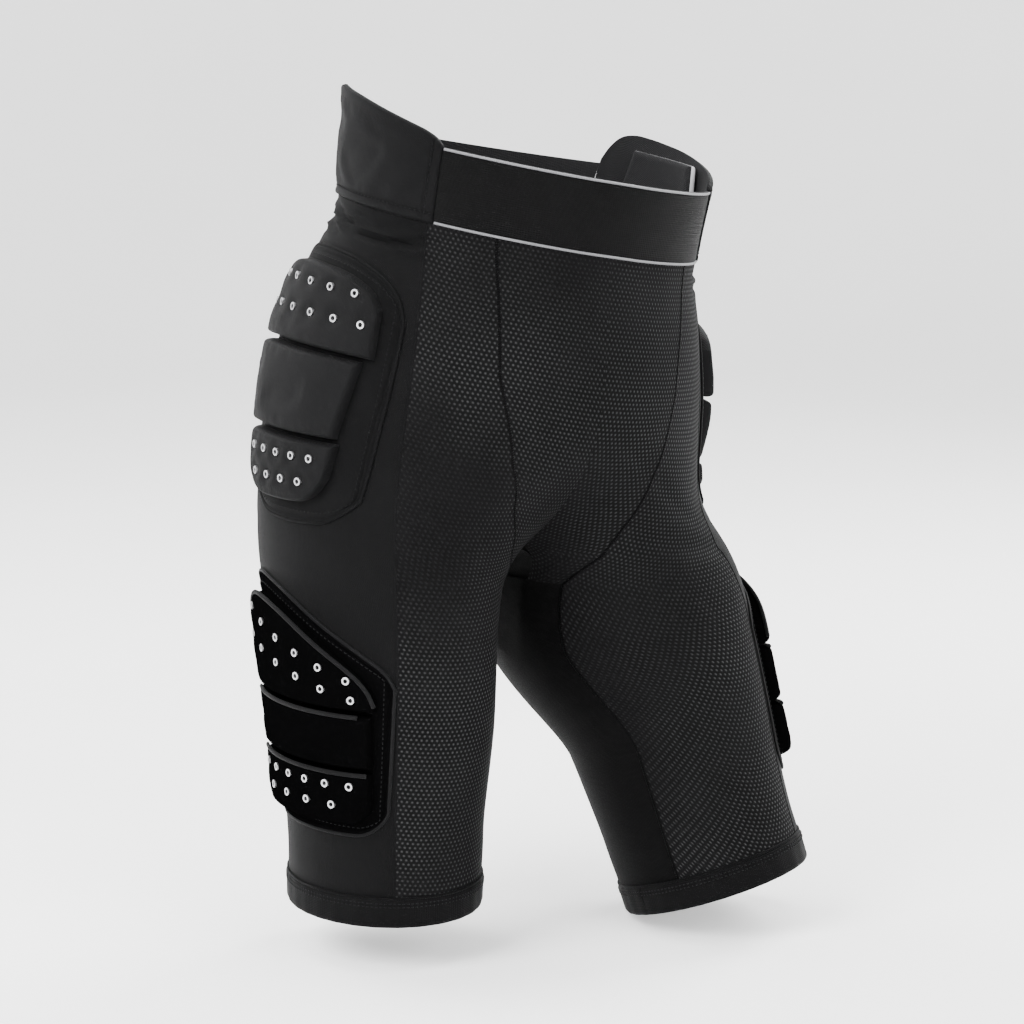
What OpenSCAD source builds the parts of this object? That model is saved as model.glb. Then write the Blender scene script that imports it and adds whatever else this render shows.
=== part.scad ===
// Padded impact shorts: a worn textile shell with sewn-on pad blocks, seven
// removable foam inserts and two legs that swing at the hips.
// Millimetres, +Z up, wearer faces -Y, wearer's left is +X, origin at the waist.
//
// Every piece is a patch of one surface. A point of it is [side, angle, drop]:
// angle runs round the leg axis from 0 (front) over 90 (outer side) to 180
// (back), drop is the height below the waist before the legs are posed.

/* [Overall size] */
// Width of the waist opening
waist_width = 274; // [230:360]
// Depth of the waist opening, front to back
waist_depth = 198; // [160:260]
// Width across the hips, over the fabric
hip_width = 318; // [270:420]
// Depth at the seat, front to back
hip_depth = 232; // [190:300]
// Waist to crotch
rise = 262; // [220:320]
// Crotch to hem
inseam = 256; // [180:320]
// Width of a leg at the thigh
thigh_width = 156; // [120:200]
// Width of a leg at the hem
hem_width = 122; // [90:160]
// Depth of a leg at the hem, front to back
hem_depth = 136; // [100:180]

/* [Stance] */
// Forward swing of the left leg at rest, degrees
left_forward = 17; // [-5:25]
// Outward swing of the left leg at rest, degrees
left_out = 20; // [0:25]
// Forward swing of the right leg at rest, degrees
right_forward = -1; // [-5:25]
// Outward swing of the right leg at rest, degrees
right_out = -9.5; // [-12:12]
// Sideways tilt of the hips at rest, degrees
tilt = 9.5; // [-12:12]
// How far the front of the waist dips
front_dip = 14; // [0:30]

/* [Fabric] */
// Thickness of the stretch fabric
fabric = 1.8; // [1:0.1:3]
// Width of the seam left between panels
seam = 0.8; // [0.4:0.1:2]
// Height of the waistband
band = 50; // [30:70]
// Height of a hem band
hem_band = 18; // [10:30]
// Height of the contrast piping
piping = 2.4; // [1:0.1:4]

/* [Hip wings] */
// Thickness of the padded wing above the hip bone
wing = 4.5; // [3:0.5:8]
// Height of the wing's peak above the waistband
wing_peak = 22; // [10:35]

/* [Pads] */
// Thickness of the sewn flange under a pad
flange = 1.6; // [1:0.1:3]
// Height of a pad block above its flange
block = 9; // [5:0.5:14]
// Width of the groove between two pad blocks
groove = 5; // [3:0.5:8]
// Thickness of a foam insert
insert = 8; // [6:0.5:14]
// Depth of an insert's face below the inside of the fabric
pocket = 2; // [1.5:0.1:4]
// Gap left between two stacked layers
lay = 0.6; // [0.4:0.1:1]
// Thickness of a pocket binding
binding = 0.7; // [0.4:0.1:1]
// Outer radius of a vent ring
vent_radius = 2.6; // [2:0.1:3.5]
// Radius of the hole through a vent ring
vent_bore = 1.5; // [1:0.1:2]
// Gap between a vent ring and the pad round it
vent_gap = 0.4; // [0.2:0.1:0.8]

/* [Hip joints] */
// Slit that lets a leg swing, at the front and back of the thigh
swing_slit = 27; // [20:40]

/* [Hidden] */
$fn = 24;

R = -1;
L = 1;
CROTCH = -262;      // drop of the crotch in pattern units
HEM = -518;         // drop of the hem in pattern units
HEM_TURN = 359;     // a hem band runs this far round, its ends meet at the inner seam
ARCH = 22;          // radius of the crotch arch
ARCH_WIDE = 0.6;    // the arch is this much narrower than it is tall
HIP = [86, 8, -215];// hip joint centre in pattern units
SPREAD = 35;        // lean of the line where a leg starts to swing
SPREAD_BAND = 130;  // length over which the swing builds up

// half widths, front and back of the torso against the drop
half_w = [[HEM, hip_width/2], [-260, hip_width/2], [-200, hip_width/2], [-150, hip_width/2 - 1],
          [-100, (waist_width + 2*hip_width)/6 - 5.3], [-55, waist_width/2 - 4], [0, waist_width/2], [40, waist_width/2 + 5]];
front = [[HEM, -hip_depth*0.475], [-200, -hip_depth*0.475], [-150, -hip_depth*0.466], [-100, -waist_depth/2 - 5],
         [-55, -waist_depth/2], [0, -waist_depth/2], [40, -waist_depth/2 - 3]];
back = [[HEM, hip_depth*0.517], [-260, hip_depth*0.517], [-200, hip_depth*0.535], [-150, hip_depth*0.526],
        [-100, waist_depth/2 + 14], [-55, waist_depth/2 + 2], [0, waist_depth/2], [40, waist_depth/2 + 3]];
// centre, half width, centre depth and half depth of a leg against the drop
leg_x = [[HEM, hip_width*0.267], [-400, hip_width*0.27], [-330, hip_width*0.27], [-270, hip_width*0.264], [-200, hip_width*0.258], [-120, hip_width*0.252], [40, hip_width*0.252]];
leg_w = [[HEM, hem_width/2], [-460, hem_width/2 + 1], [-400, hem_width/2 + 5], [-330, thigh_width/2 - 5], [-270, thigh_width/2], [40, thigh_width/2]];
leg_y = [[HEM, 3], [-460, 2], [-400, 0], [-330, 0], [-270, 2], [-200, 4], [40, 6]];
leg_d = [[HEM, hem_depth/2], [-460, hem_depth/2 + 3], [-400, hem_depth/2 + 10], [-330, hem_depth/2 + 19], [-270, hip_depth*0.41], [-200, hip_depth*0.448], [40, hip_depth*0.474]];

function mix(a, b, t) = a + (b - a)*t;
function clamp(t) = min(max(t, 0), 1);
function ease(t) = let (c = clamp(t)) c*c*(3 - 2*c);
// smooth table lookup, Catmull-Rom between the rows
function slope(T, i) = let (a = max(i - 1, 0), b = min(i + 1, len(T) - 1)) (T[b][1] - T[a][1])/(T[b][0] - T[a][0]);
function row_of(T, z, i = 0) = i >= len(T) - 2 || z < T[i + 1][0] ? i : row_of(T, z, i + 1);
function at(T, z) = let (i = row_of(T, z), h = T[i + 1][0] - T[i][0], t = clamp((z - T[i][0])/h), s = t*t, c = s*t)
    (2*c - 3*s + 1)*T[i][1] + (c - 2*s + t)*h*slope(T, i) + (3*s - 2*c)*T[i + 1][1] + (c - s)*h*slope(T, i + 1);

// distance of the surface from the leg axis at an angle and a drop
function torso_part(z) = ease((z - CROTCH + 30)/140);
function reach(th, z) = let (s = sin(th), c = -cos(th), cx = at(leg_x, z), cy = at(leg_y, z),
    rl = 1/sqrt(pow(s/at(leg_w, z), 2) + pow(c/at(leg_d, z), 2)),
    a = at(half_w, z), y0 = (at(front, z) + at(back, z))/2, b = (at(back, z) - at(front, z))/2,
    A = s*s/a/a + c*c/b/b, B = 2*(cx*s/a/a + (cy - y0)*c/b/b), C = cx*cx/a/a + pow((cy - y0)/b, 2) - 1)
    mix(rl, (-B + sqrt(max(B*B - 4*A*C, 1e-9)))/2/A, torso_part(z));
// half the space between the legs
function legs_apart(z) = let (d = max(CROTCH - z, 0)) ARCH_WIDE*(d < ARCH ? sqrt(max(ARCH*ARCH - pow(ARCH - d, 2), 0)) : ARCH);
function flat_x(th, z) = at(leg_x, z) + reach(th, z)*sin(th);
// angle at which the surface stands x from the middle, on the front or the back
function angle_at(x, z, lo, hi, n = 14) = let (m = (lo + hi)/2)
    n == 0 ? m : (flat_x(m, z) < x) == (lo < 90) ? angle_at(x, z, m, hi, n - 1) : angle_at(x, z, lo, m, n - 1);
function front_mid(z) = angle_at(legs_apart(z), z, -90, 30);
function back_mid(z) = angle_at(legs_apart(z), z, 150, 270);

// unposed point of the surface, moved out by off
function flat(th, z, off) = let (r = reach(th, z), x = max(at(leg_x, z) + r*sin(th), legs_apart(z)), y = at(leg_y, z) - r*cos(th),
    w = torso_part(z), a = at(half_w, z), y0 = (at(front, z) + at(back, z))/2, b = (at(back, z) - at(front, z))/2,
    nx = mix((x - at(leg_x, z))/pow(at(leg_w, z), 2), x/a/a, w), ny = mix((y - at(leg_y, z))/pow(at(leg_d, z), 2), (y - y0)/b/b, w),
    mx = z > CROTCH ? nx*clamp(x/20) : nx, l = sqrt(mx*mx + ny*ny)) [x + off*mx/l, y + off*ny/l, z];

// from the pattern to the worn pose
function swing(side, p) = ease((p[0]*sin(SPREAD) - (p[2] - CROTCH + 5)*cos(SPREAD))/SPREAD_BAND);
function turn_x(v, a) = [v[0], v[1]*cos(a) + v[2]*sin(a), -v[1]*sin(a) + v[2]*cos(a)];
function turn_y(v, a) = [v[0]*cos(a) - v[2]*sin(a), v[1], v[0]*sin(a) + v[2]*cos(a)];
function real_z(z) = z > CROTCH ? z*rise/-CROTCH : -rise + (z - CROTCH)*inseam/(CROTCH - HEM);
function pose(side, p) = let (w = swing(side, p), v = turn_x(p - HIP, w*(side == L ? left_forward : right_forward)),
    u = turn_y(v, w*(side == L ? left_out : right_out)) + HIP,
    q = [side*u[0], u[1], real_z(u[2]) - front_dip*clamp((u[2] + 260)/200)*min(max(-u[1]/100, -0.4), 1)])
    turn_y(q, -tilt);
function point(side, th, z, off) = pose(side, flat(th, z, off));

// closed solid between two grids of points
module shell(A, B) {
    n = len(A[0]);
    m = len(A);
    size = n*m;
    function id(g, i, j) = g*size + i*n + j;
    polyhedron(points = [for (g = [A, B], r = g, p = r) p], faces = concat(
        [for (i = [0:m-2], j = [0:n-2], t = [0, 1]) t == 0 ? [id(0,i,j), id(0,i,j+1), id(0,i+1,j+1)] : [id(0,i,j), id(0,i+1,j+1), id(0,i+1,j)]],
        [for (i = [0:m-2], j = [0:n-2], t = [0, 1]) t == 0 ? [id(1,i,j), id(1,i+1,j+1), id(1,i,j+1)] : [id(1,i,j), id(1,i+1,j), id(1,i+1,j+1)]],
        [for (j = [0:n-2], t = [0, 1]) t == 0 ? [id(0,0,j), id(1,0,j), id(1,0,j+1)] : [id(0,0,j), id(1,0,j+1), id(0,0,j+1)]],
        [for (j = [0:n-2], t = [0, 1]) t == 0 ? [id(0,m-1,j), id(1,m-1,j+1), id(1,m-1,j)] : [id(0,m-1,j), id(0,m-1,j+1), id(1,m-1,j+1)]],
        [for (i = [0:m-2], t = [0, 1]) t == 0 ? [id(0,i,0), id(1,i+1,0), id(1,i,0)] : [id(0,i,0), id(0,i+1,0), id(1,i+1,0)]],
        [for (i = [0:m-2], t = [0, 1]) t == 0 ? [id(0,i,n-1), id(1,i,n-1), id(1,i+1,n-1)] : [id(0,i,n-1), id(1,i+1,n-1), id(0,i+1,n-1)]]));
}
// patch of one side: angle from e0 to e1 (tables over the drop), drop from top to bottom (tables over the share across)
function side_grid(side, e0, e1, top, bottom, off, nu, nv, in = 0) = [for (i = [0:nv]) [for (j = [0:nu])
    let (u = side == R ? 1 - j/nu : j/nu, z = mix(lookup(u, top), lookup(u, bottom), i/nv), g = in*180/PI/80)
    point(side, mix(lookup(z, e0) + g, lookup(z, e1) - g, u), z, off)]];
module side_patch(side, e0, e1, top, bottom, o0, o1, nu, nv)
    shell(side_grid(side, e0, e1, top, bottom, o0, nu, nv, seam/2), side_grid(side, e0, e1, top, bottom, o1, nu, nv, seam/2));
// patch over the middle: e is the angle (table over the drop) where it ends on both sides
function mid_grid(e, is_front, top, bottom, off, nu, nv) = [for (i = [0:nv]) [for (j = [-nu:nu])
    let (u = abs(j)/nu, z = mix(lookup(u, top), lookup(u, bottom), i/nv), m = is_front ? front_mid(z) : back_mid(z))
    point(j*(is_front ? 1 : -1) < 0 ? R : L, mix(m, lookup(z, e) + (is_front ? -1 : 1)*seam/2, u), z, off)]];
module mid_patch(e, is_front, top, bottom, o0, o1, nu, nv)
    shell(mid_grid(e, is_front, top, bottom, o0, nu, nv), mid_grid(e, is_front, top, bottom, o1, nu, nv));

function level(z) = [[0, z], [1, z]];
// the four edges that split a side into panels, angle against the drop
edge_front = [[-262, -24], [-200, -12], [-140, -3], [-50, 0], [40, 0]];
edge_mesh = [[HEM, 30], [-50, 32], [40, 32]];
edge_back = [[HEM, 160], [-262, 158], [-150, 160], [-50, 158], [40, 158]];
edge_seat = [[-262, 212], [-200, 200], [-140, 190], [-50, 184], [40, 184]];
edge_in_front = [[HEM, -58], [-284, -50]];
edge_in_back = [[HEM, 222], [-284, 226]];
top_edge = -band - seam;
pelvis_end = CROTCH + seam;
// a leg starts lower towards its front and back, so it can swing
function leg_start(th) = CROTCH - 3 - swing_slit*abs(cos(th));

// ---- shell ----
wing_from = [[HEM, 29], [40, 29]];
module waistband_front() color([0.09, 0.09, 0.1])
    mid_patch([[-60, 28], [40, 28]], true, level(0), level(-band), 0, fabric, 10, 3);
module waistband_back() color([0.09, 0.09, 0.1])
    mid_patch([[-50, 161], [0, 151], [40, 151]], false, level(0), level(-band), 0, fabric, 10, 3);
module waist_piping() color([0.62, 0.62, 0.62])
    for (z = [-0.2, piping - band]) {
        mid_patch([[-60, 27.5], [40, 27.5]], true, level(z), level(z - piping), fabric + 0.1, fabric + 0.9, 10, 1);
        mid_patch([[-50, 161.5], [0, 151.5], [40, 151.5]], false, level(z), level(z - piping), fabric + 0.1, fabric + 0.9, 10, 1);
    }
module front_panel() color([0.17, 0.17, 0.18])
    mid_patch([for (e = edge_front) [e[0], e[1]]], true, level(top_edge), level(pelvis_end), 0, fabric, 5, 9);
module seat_panel() color([0.17, 0.17, 0.18])
    mid_patch(edge_seat, false, level(top_edge), level(pelvis_end), 0, fabric, 8, 14);
module hip_front_mesh(side) color([0.18, 0.18, 0.19])
    side_patch(side, edge_front, edge_mesh, level(top_edge), level(pelvis_end), 0, fabric, 4, 8);
module hip_side_panel(side) color([0.15, 0.15, 0.16])
    side_patch(side, edge_mesh, edge_back, level(top_edge), level(pelvis_end), 0, fabric, 16, 12);
module hip_back_mesh(side) color([0.18, 0.18, 0.19])
    side_patch(side, edge_back, edge_seat, level(top_edge), level(pelvis_end), 0, fabric, 4, 8);
function arch_grid(off) = [for (i = [-4:4]) let (phi = 80*i/4, z = CROTCH - ARCH*(1 - cos(phi)) - 1.5)
    [for (j = [0:8]) let (side = i < 0 ? R : L, y0 = flat(front_mid(z), z, 0)[1] + 3, y1 = flat(back_mid(z), z, 0)[1] - 3)
    pose(side, [abs(ARCH_WIDE*(ARCH - off)*sin(phi)), mix(y0, y1, j/8), CROTCH - 1.5 - ARCH + (ARCH - off)*cos(phi)])]];
module gusset() color([0.13, 0.13, 0.14])
    shell(arch_grid(fabric), arch_grid(0));

// ---- wings above the hip bones ----
wing_top = [[0, 3], [0.1, 6], [0.62, wing_peak*0.8], [0.75, wing_peak], [0.9, wing_peak], [0.97, wing_peak*0.6], [1, 4]];
wing_back = [[-60, 160], [0, 150], [40, 142]];
module wing_cover(side) color([0.12, 0.12, 0.13])
    side_patch(side, wing_from, wing_back, wing_top, level(-band), 0, wing, 14, 5);
module crest_insert(side) color([0.6, 0.6, 0.61])
    side_patch(side, [[-60, 50], [-30, 48], [40, 74]], [[-60, 122], [-30, 134], [40, 118]], level(12), level(-40), -pocket - insert, -pocket, 8, 5);

// ---- pads ----
hip_front = [[-250, 56], [-232, 46], [-180, 41], [-100, 37], [-82, 44]];
hip_back = [[-250, 116], [-225, 130], [-150, 147], [-105, 151], [-82, 138]];
module pad_blank(side, e0, e1, top, bottom, nu, nv)
    side_patch(side, e0, e1, top, bottom, fabric + flange + lay, fabric + flange + block, nu, nv);
module pad_flange(side, e0, e1, top, bottom, nu, nv)
    side_patch(side, e0, e1, top, bottom, fabric + lay, fabric + flange, nu, nv);
// frame that hangs on a node's outer surface at one pattern point
module on_surface(side, th, z, off) {
    p = point(side, th, z, off);
    n = point(side, th, z, off + 1) - p;
    translate(p) rotate([0, acos(n[2]/norm(n)), atan2(n[1], n[0])]) children();
}
module vent_holes(side, vents) for (v = vents) on_surface(side, v[0], v[1], fabric + flange - 2)
    cylinder(r = vent_radius + vent_gap, h = block + 8);
module vent_rings(side, vents) for (v = vents) on_surface(side, v[0], v[1], fabric + flange + 2*lay)
    rotate_extrude() translate([vent_bore, 0]) square([vent_radius - vent_bore, block - lay]);
function vent_row(a0, a1, z0, z1, n) = [for (i = [0:n-1]) [mix(a0, a1, i/(n - 1)), mix(z0, z1, i/(n - 1))]];
hip_vents_upper = concat(vent_row(62, 122, -104, -104, 5), vent_row(56, 128, -123, -123, 6));
hip_vents_lower = concat(vent_row(70, 112, -211, -211, 5), vent_row(75, 108, -225, -225, 4));
module hip_pad_base(side) color([0.13, 0.13, 0.14]) pad_flange(side, hip_front, hip_back, level(-82), level(-250), 14, 12);
module hip_pad_upper(side) color([0.14, 0.14, 0.15]) difference() {
    pad_blank(side, [[-160, 49], [-100, 49], [-92, 53]], [[-160, 140], [-100, 140], [-92, 134]], level(-92), level(-146 + groove/2), 9, 3);
    vent_holes(side, hip_vents_upper);
}
module hip_pad_middle(side) color([0.14, 0.14, 0.15])
    pad_blank(side, [[-200, 62], [-146, 54]], [[-200, 122], [-146, 134]], level(-146 - groove/2), level(-200 + groove/2), 8, 3);
module hip_pad_lower(side) color([0.14, 0.14, 0.15]) difference() {
    pad_blank(side, [[-238, 70], [-230, 65], [-200, 62]], [[-238, 110], [-230, 115], [-200, 120]], level(-200 - groove/2), level(-238), 7, 3);
    vent_holes(side, hip_vents_lower);
}
module hip_eyelets(side) color([0.7, 0.7, 0.7]) vent_rings(side, concat(hip_vents_upper, hip_vents_lower));
module hip_insert(side) color([0.66, 0.66, 0.68])
    side_patch(side, [[-236, 68], [-200, 60], [-96, 52]], [[-236, 112], [-200, 122], [-96, 136]], level(-96), level(-236), -pocket - insert, -pocket, 9, 7);
module rim(side, e0, e1, z0, z1, w) color([0.1, 0.1, 0.11]) {
    side_patch(side, e0, [for (e = e0) [e[0], e[1] + w]], level(z0), level(z1), -lay - binding, -lay, 1, 10);
    side_patch(side, [for (e = e1) [e[0], e[1] - w]], e1, level(z0), level(z1), -lay - binding, -lay, 1, 10);
    side_patch(side, [for (e = e0) [e[0], e[1] + w]], [for (e = e1) [e[0], e[1] - w]], level(z0), level(z0 - 5), -lay - binding, -lay, 10, 1);
    side_patch(side, [for (e = e0) [e[0], e[1] + w]], [for (e = e1) [e[0], e[1] - w]], level(z1 + 5), level(z1), -lay - binding, -lay, 10, 1);
}
module hip_pocket_rim(side) rim(side, [[-242, 64], [-200, 54], [-90, 46]], [[-242, 114], [-200, 128], [-90, 142]], -90, -242, 4);

tail_edge = [[-150, 204], [-140, 200], [-62, 186]];
module tail_pad_base() color([0.13, 0.13, 0.14])
    mid_patch(tail_edge, false, level(-64), level(-148), fabric + lay, fabric + flange, 8, 8);
module tail_pad_upper() color([0.14, 0.14, 0.15])
    mid_patch([[-110, 201], [-72, 198]], false, level(-72), level(-104), fabric + flange + lay, fabric + flange + block, 5, 3);
module tail_pad_lower() color([0.14, 0.14, 0.15])
    mid_patch([[-140, 206], [-108, 203]], false, level(-109), level(-138), fabric + flange + lay, fabric + flange + block, 4, 3);
module tail_insert() color([0.58, 0.58, 0.6])
    mid_patch([[-190, 206], [-150, 202], [-60, 189]], false, level(-60), level(-190), -pocket - insert, -pocket, 5, 7);
module tail_pocket_rim() color([0.1, 0.1, 0.11]) {
    mid_patch([[-200, 205], [-150, 200], [-54, 186]], false, level(-54), level(-59), -lay - binding, -lay, 5, 1);
    mid_patch([[-200, 205], [-150, 200], [-54, 186]], false, level(-191), level(-196), -lay - binding, -lay, 5, 1);
}

// ---- legs ----
function leg_top(a, b) = [for (u = [0:0.1:1.001]) [u, leg_start(mix(a, b, u))]];
leg_end = HEM + hem_band + seam;
module leg_front_mesh(side) color([0.18, 0.18, 0.19])
    side_patch(side, edge_in_front, edge_mesh, leg_top(-50, 30), level(leg_end), 0, fabric, 6, 9);
module leg_side_panel(side) color([0.15, 0.15, 0.16])
    side_patch(side, edge_mesh, edge_back, leg_top(30, 160), level(leg_end), 0, fabric, 16, 12);
module leg_back_mesh(side) color([0.18, 0.18, 0.19])
    side_patch(side, edge_back, edge_in_back, leg_top(160, 226), level(leg_end), 0, fabric, 5, 9);
module leg_inner_panel(side) color([0.12, 0.12, 0.13])
    side_patch(side, edge_in_back, [[HEM, 302], [-284, 310]], [for (u = [0:0.25:1]) [u, CROTCH - ARCH - 4 - 18*abs(1 - 2*u)]], level(leg_end), 0, fabric, 6, 8);
module leg_hem(side) color([0.1, 0.1, 0.11])
    shell(hem_grid(side, 0), hem_grid(side, fabric + 0.6));
function hem_grid(side, off) = [for (i = [0:2]) [for (j = [0:30]) point(side, (side == R ? -1 : 1)*j*HEM_TURN/30 - 90, mix(HEM + hem_band, HEM, i/2), off)]];
thigh_top = [[0, -337], [0.25, -318], [0.5, -297], [0.7, -290], [0.85, -300], [1, -335]];
thigh_front = [[-455, 42], [-444, 34], [-330, 31]];
thigh_back = [[-455, 128], [-440, 138], [-350, 149], [-290, 149]];
thigh_vents_upper = concat(vent_row(52, 122, -345, -312, 6), vent_row(50, 126, -358, -332, 6));
thigh_vents_lower = concat(vent_row(52, 120, -418, -418, 6), vent_row(62, 112, -432, -432, 4));
module thigh_pad_base(side) color([0.12, 0.12, 0.13]) pad_flange(side, thigh_front, thigh_back, thigh_top, level(-455), 14, 10);
module thigh_pad_upper(side) color([0.08, 0.08, 0.09]) difference() {
    pad_blank(side, [[-370, 40], [-300, 40]], [[-370, 138], [-300, 134]], [[0, -342], [0.25, -326], [0.5, -308], [0.75, -300], [1, -322]], level(-368 + groove/2), 9, 3);
    vent_holes(side, thigh_vents_upper);
}
module thigh_pad_middle(side) color([0.08, 0.08, 0.09])
    pad_blank(side, [[-410, 42], [-360, 42]], [[-410, 132], [-360, 136]], level(-368 - groove/2), level(-408 + groove/2), 8, 3);
module thigh_pad_lower(side) color([0.08, 0.08, 0.09]) difference() {
    pad_blank(side, [[-446, 48], [-438, 42], [-408, 42]], [[-446, 122], [-438, 130], [-408, 130]], level(-408 - groove/2), level(-446), 8, 3);
    vent_holes(side, thigh_vents_lower);
}
module thigh_eyelets(side) color([0.7, 0.7, 0.7]) vent_rings(side, concat(thigh_vents_upper, thigh_vents_lower));
module thigh_insert(side) color([0.66, 0.66, 0.68])
    side_patch(side, [[-442, 50], [-340, 44]], [[-442, 122], [-340, 132]], [[0, -344], [0.5, -318], [1, -328]], level(-442), -pocket - insert, -pocket, 8, 6);
module thigh_pocket_rim(side) rim(side, [[-448, 44], [-350, 37]], [[-448, 128], [-350, 138]], -346, -448, 4);

waistband_front();
waistband_back();
waist_piping();
front_panel();
seat_panel();
gusset();
wing_cover(R);  // wing_cover_right
wing_cover(L);  // wing_cover_left
crest_insert(R);  // crest_insert_right
crest_insert(L);  // crest_insert_left
hip_front_mesh(R);  // hip_front_mesh_right
hip_front_mesh(L);  // hip_front_mesh_left
hip_side_panel(R);  // hip_side_panel_right
hip_side_panel(L);  // hip_side_panel_left
hip_back_mesh(R);  // hip_back_mesh_right
hip_back_mesh(L);  // hip_back_mesh_left
hip_pad_base(R);  // hip_pad_base_right
hip_pad_base(L);  // hip_pad_base_left
hip_pad_upper(R);  // hip_pad_upper_right
hip_pad_upper(L);  // hip_pad_upper_left
hip_pad_middle(R);  // hip_pad_middle_right
hip_pad_middle(L);  // hip_pad_middle_left
hip_pad_lower(R);  // hip_pad_lower_right
hip_pad_lower(L);  // hip_pad_lower_left
hip_eyelets(R);  // hip_eyelets_right
hip_eyelets(L);  // hip_eyelets_left
hip_insert(R);  // hip_insert_right
hip_insert(L);  // hip_insert_left
hip_pocket_rim(R);  // hip_pocket_rim_right
hip_pocket_rim(L);  // hip_pocket_rim_left
leg_front_mesh(R);  // leg_front_mesh_right
leg_front_mesh(L);  // leg_front_mesh_left
leg_side_panel(R);  // leg_side_panel_right
leg_side_panel(L);  // leg_side_panel_left
leg_back_mesh(R);  // leg_back_mesh_right
leg_back_mesh(L);  // leg_back_mesh_left
leg_inner_panel(R);  // leg_inner_panel_right
leg_inner_panel(L);  // leg_inner_panel_left
leg_hem(R);  // leg_hem_right
leg_hem(L);  // leg_hem_left
thigh_pad_base(R);  // thigh_pad_base_right
thigh_pad_base(L);  // thigh_pad_base_left
thigh_pad_upper(R);  // thigh_pad_upper_right
thigh_pad_upper(L);  // thigh_pad_upper_left
thigh_pad_middle(R);  // thigh_pad_middle_right
thigh_pad_middle(L);  // thigh_pad_middle_left
thigh_pad_lower(R);  // thigh_pad_lower_right
thigh_pad_lower(L);  // thigh_pad_lower_left
thigh_eyelets(R);  // thigh_eyelets_right
thigh_eyelets(L);  // thigh_eyelets_left
thigh_insert(R);  // thigh_insert_right
thigh_insert(L);  // thigh_insert_left
thigh_pocket_rim(R);  // thigh_pocket_rim_right
thigh_pocket_rim(L);  // thigh_pocket_rim_left
tail_pad_base();
tail_pad_upper();
tail_pad_lower();
tail_insert();
tail_pocket_rim();
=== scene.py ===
import math

import bmesh
import bpy
import numpy as np
from bpy.props import FloatProperty, FloatVectorProperty, PointerProperty
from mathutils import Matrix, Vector


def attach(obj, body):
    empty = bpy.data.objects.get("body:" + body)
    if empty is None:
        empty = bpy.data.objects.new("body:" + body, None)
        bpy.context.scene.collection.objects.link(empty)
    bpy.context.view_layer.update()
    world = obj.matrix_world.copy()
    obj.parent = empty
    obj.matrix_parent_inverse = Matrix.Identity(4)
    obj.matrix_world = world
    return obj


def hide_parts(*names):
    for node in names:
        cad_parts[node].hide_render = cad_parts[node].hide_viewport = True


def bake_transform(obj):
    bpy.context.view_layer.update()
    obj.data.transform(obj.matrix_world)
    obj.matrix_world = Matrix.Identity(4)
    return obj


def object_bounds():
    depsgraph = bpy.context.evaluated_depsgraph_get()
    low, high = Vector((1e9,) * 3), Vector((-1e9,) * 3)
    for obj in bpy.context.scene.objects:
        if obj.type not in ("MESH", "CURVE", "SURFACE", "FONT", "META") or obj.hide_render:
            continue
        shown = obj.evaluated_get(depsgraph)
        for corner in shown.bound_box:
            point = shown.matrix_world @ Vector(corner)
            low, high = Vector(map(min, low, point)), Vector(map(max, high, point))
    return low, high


bl_info = {"name": "Padded impact shorts", "version": (1, 0, 0), "blender": (4, 5, 0),
           "location": "View3D > Sidebar > Shorts", "description": "Builds the padded shorts round their CAD frame",
           "category": "Object"}

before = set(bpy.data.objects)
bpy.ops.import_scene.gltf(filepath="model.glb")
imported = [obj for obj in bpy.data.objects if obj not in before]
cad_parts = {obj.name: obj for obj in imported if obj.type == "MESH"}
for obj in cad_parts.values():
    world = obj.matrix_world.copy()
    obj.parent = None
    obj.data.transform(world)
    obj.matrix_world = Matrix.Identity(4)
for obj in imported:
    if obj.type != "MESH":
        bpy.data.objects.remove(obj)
CAD_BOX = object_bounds()
RIGHT, LEFT = -1, 1
SIDES = {RIGHT: "right", LEFT: "left"}

# ---------------------------------------------------------------- pattern
# A point of the garment is side, angle round the leg axis (0 front, 90 outer
# side, 180 back) and drop below the waist, in millimetres before it is posed.
WAIST_W, WAIST_D, HIP_W, HIP_D = 274.0, 198.0, 318.0, 232.0
THIGH_W, HEM_W, HEM_D = 156.0, 122.0, 136.0
FORWARD = {LEFT: 17.0, RIGHT: -1.0}
OUT = {LEFT: 20.0, RIGHT: -9.5}
TILT, DIP = 9.5, 14.0
CROTCH, HEM, ARCH, ARCH_WIDE = -262.0, -518.0, 22.0, 0.6
ARCH_END = CROTCH - ARCH
HIP = np.array([86.0, 8.0, -215.0])
SPREAD, SPREAD_BAND = 35.0, 130.0
BAND = 50.0
FABRIC, FLANGE, BLOCK, INSERT, POCKET, LAY = 1.8, 1.6, 9.0, 8.0, 2.0, 0.6
GROOVE = 5.0
HEM_BAND = 18.0
WING, WING_PEAK = 4.5, 22.0
MM = 0.001


def table(*rows):
    return np.array(rows, float)


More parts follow.
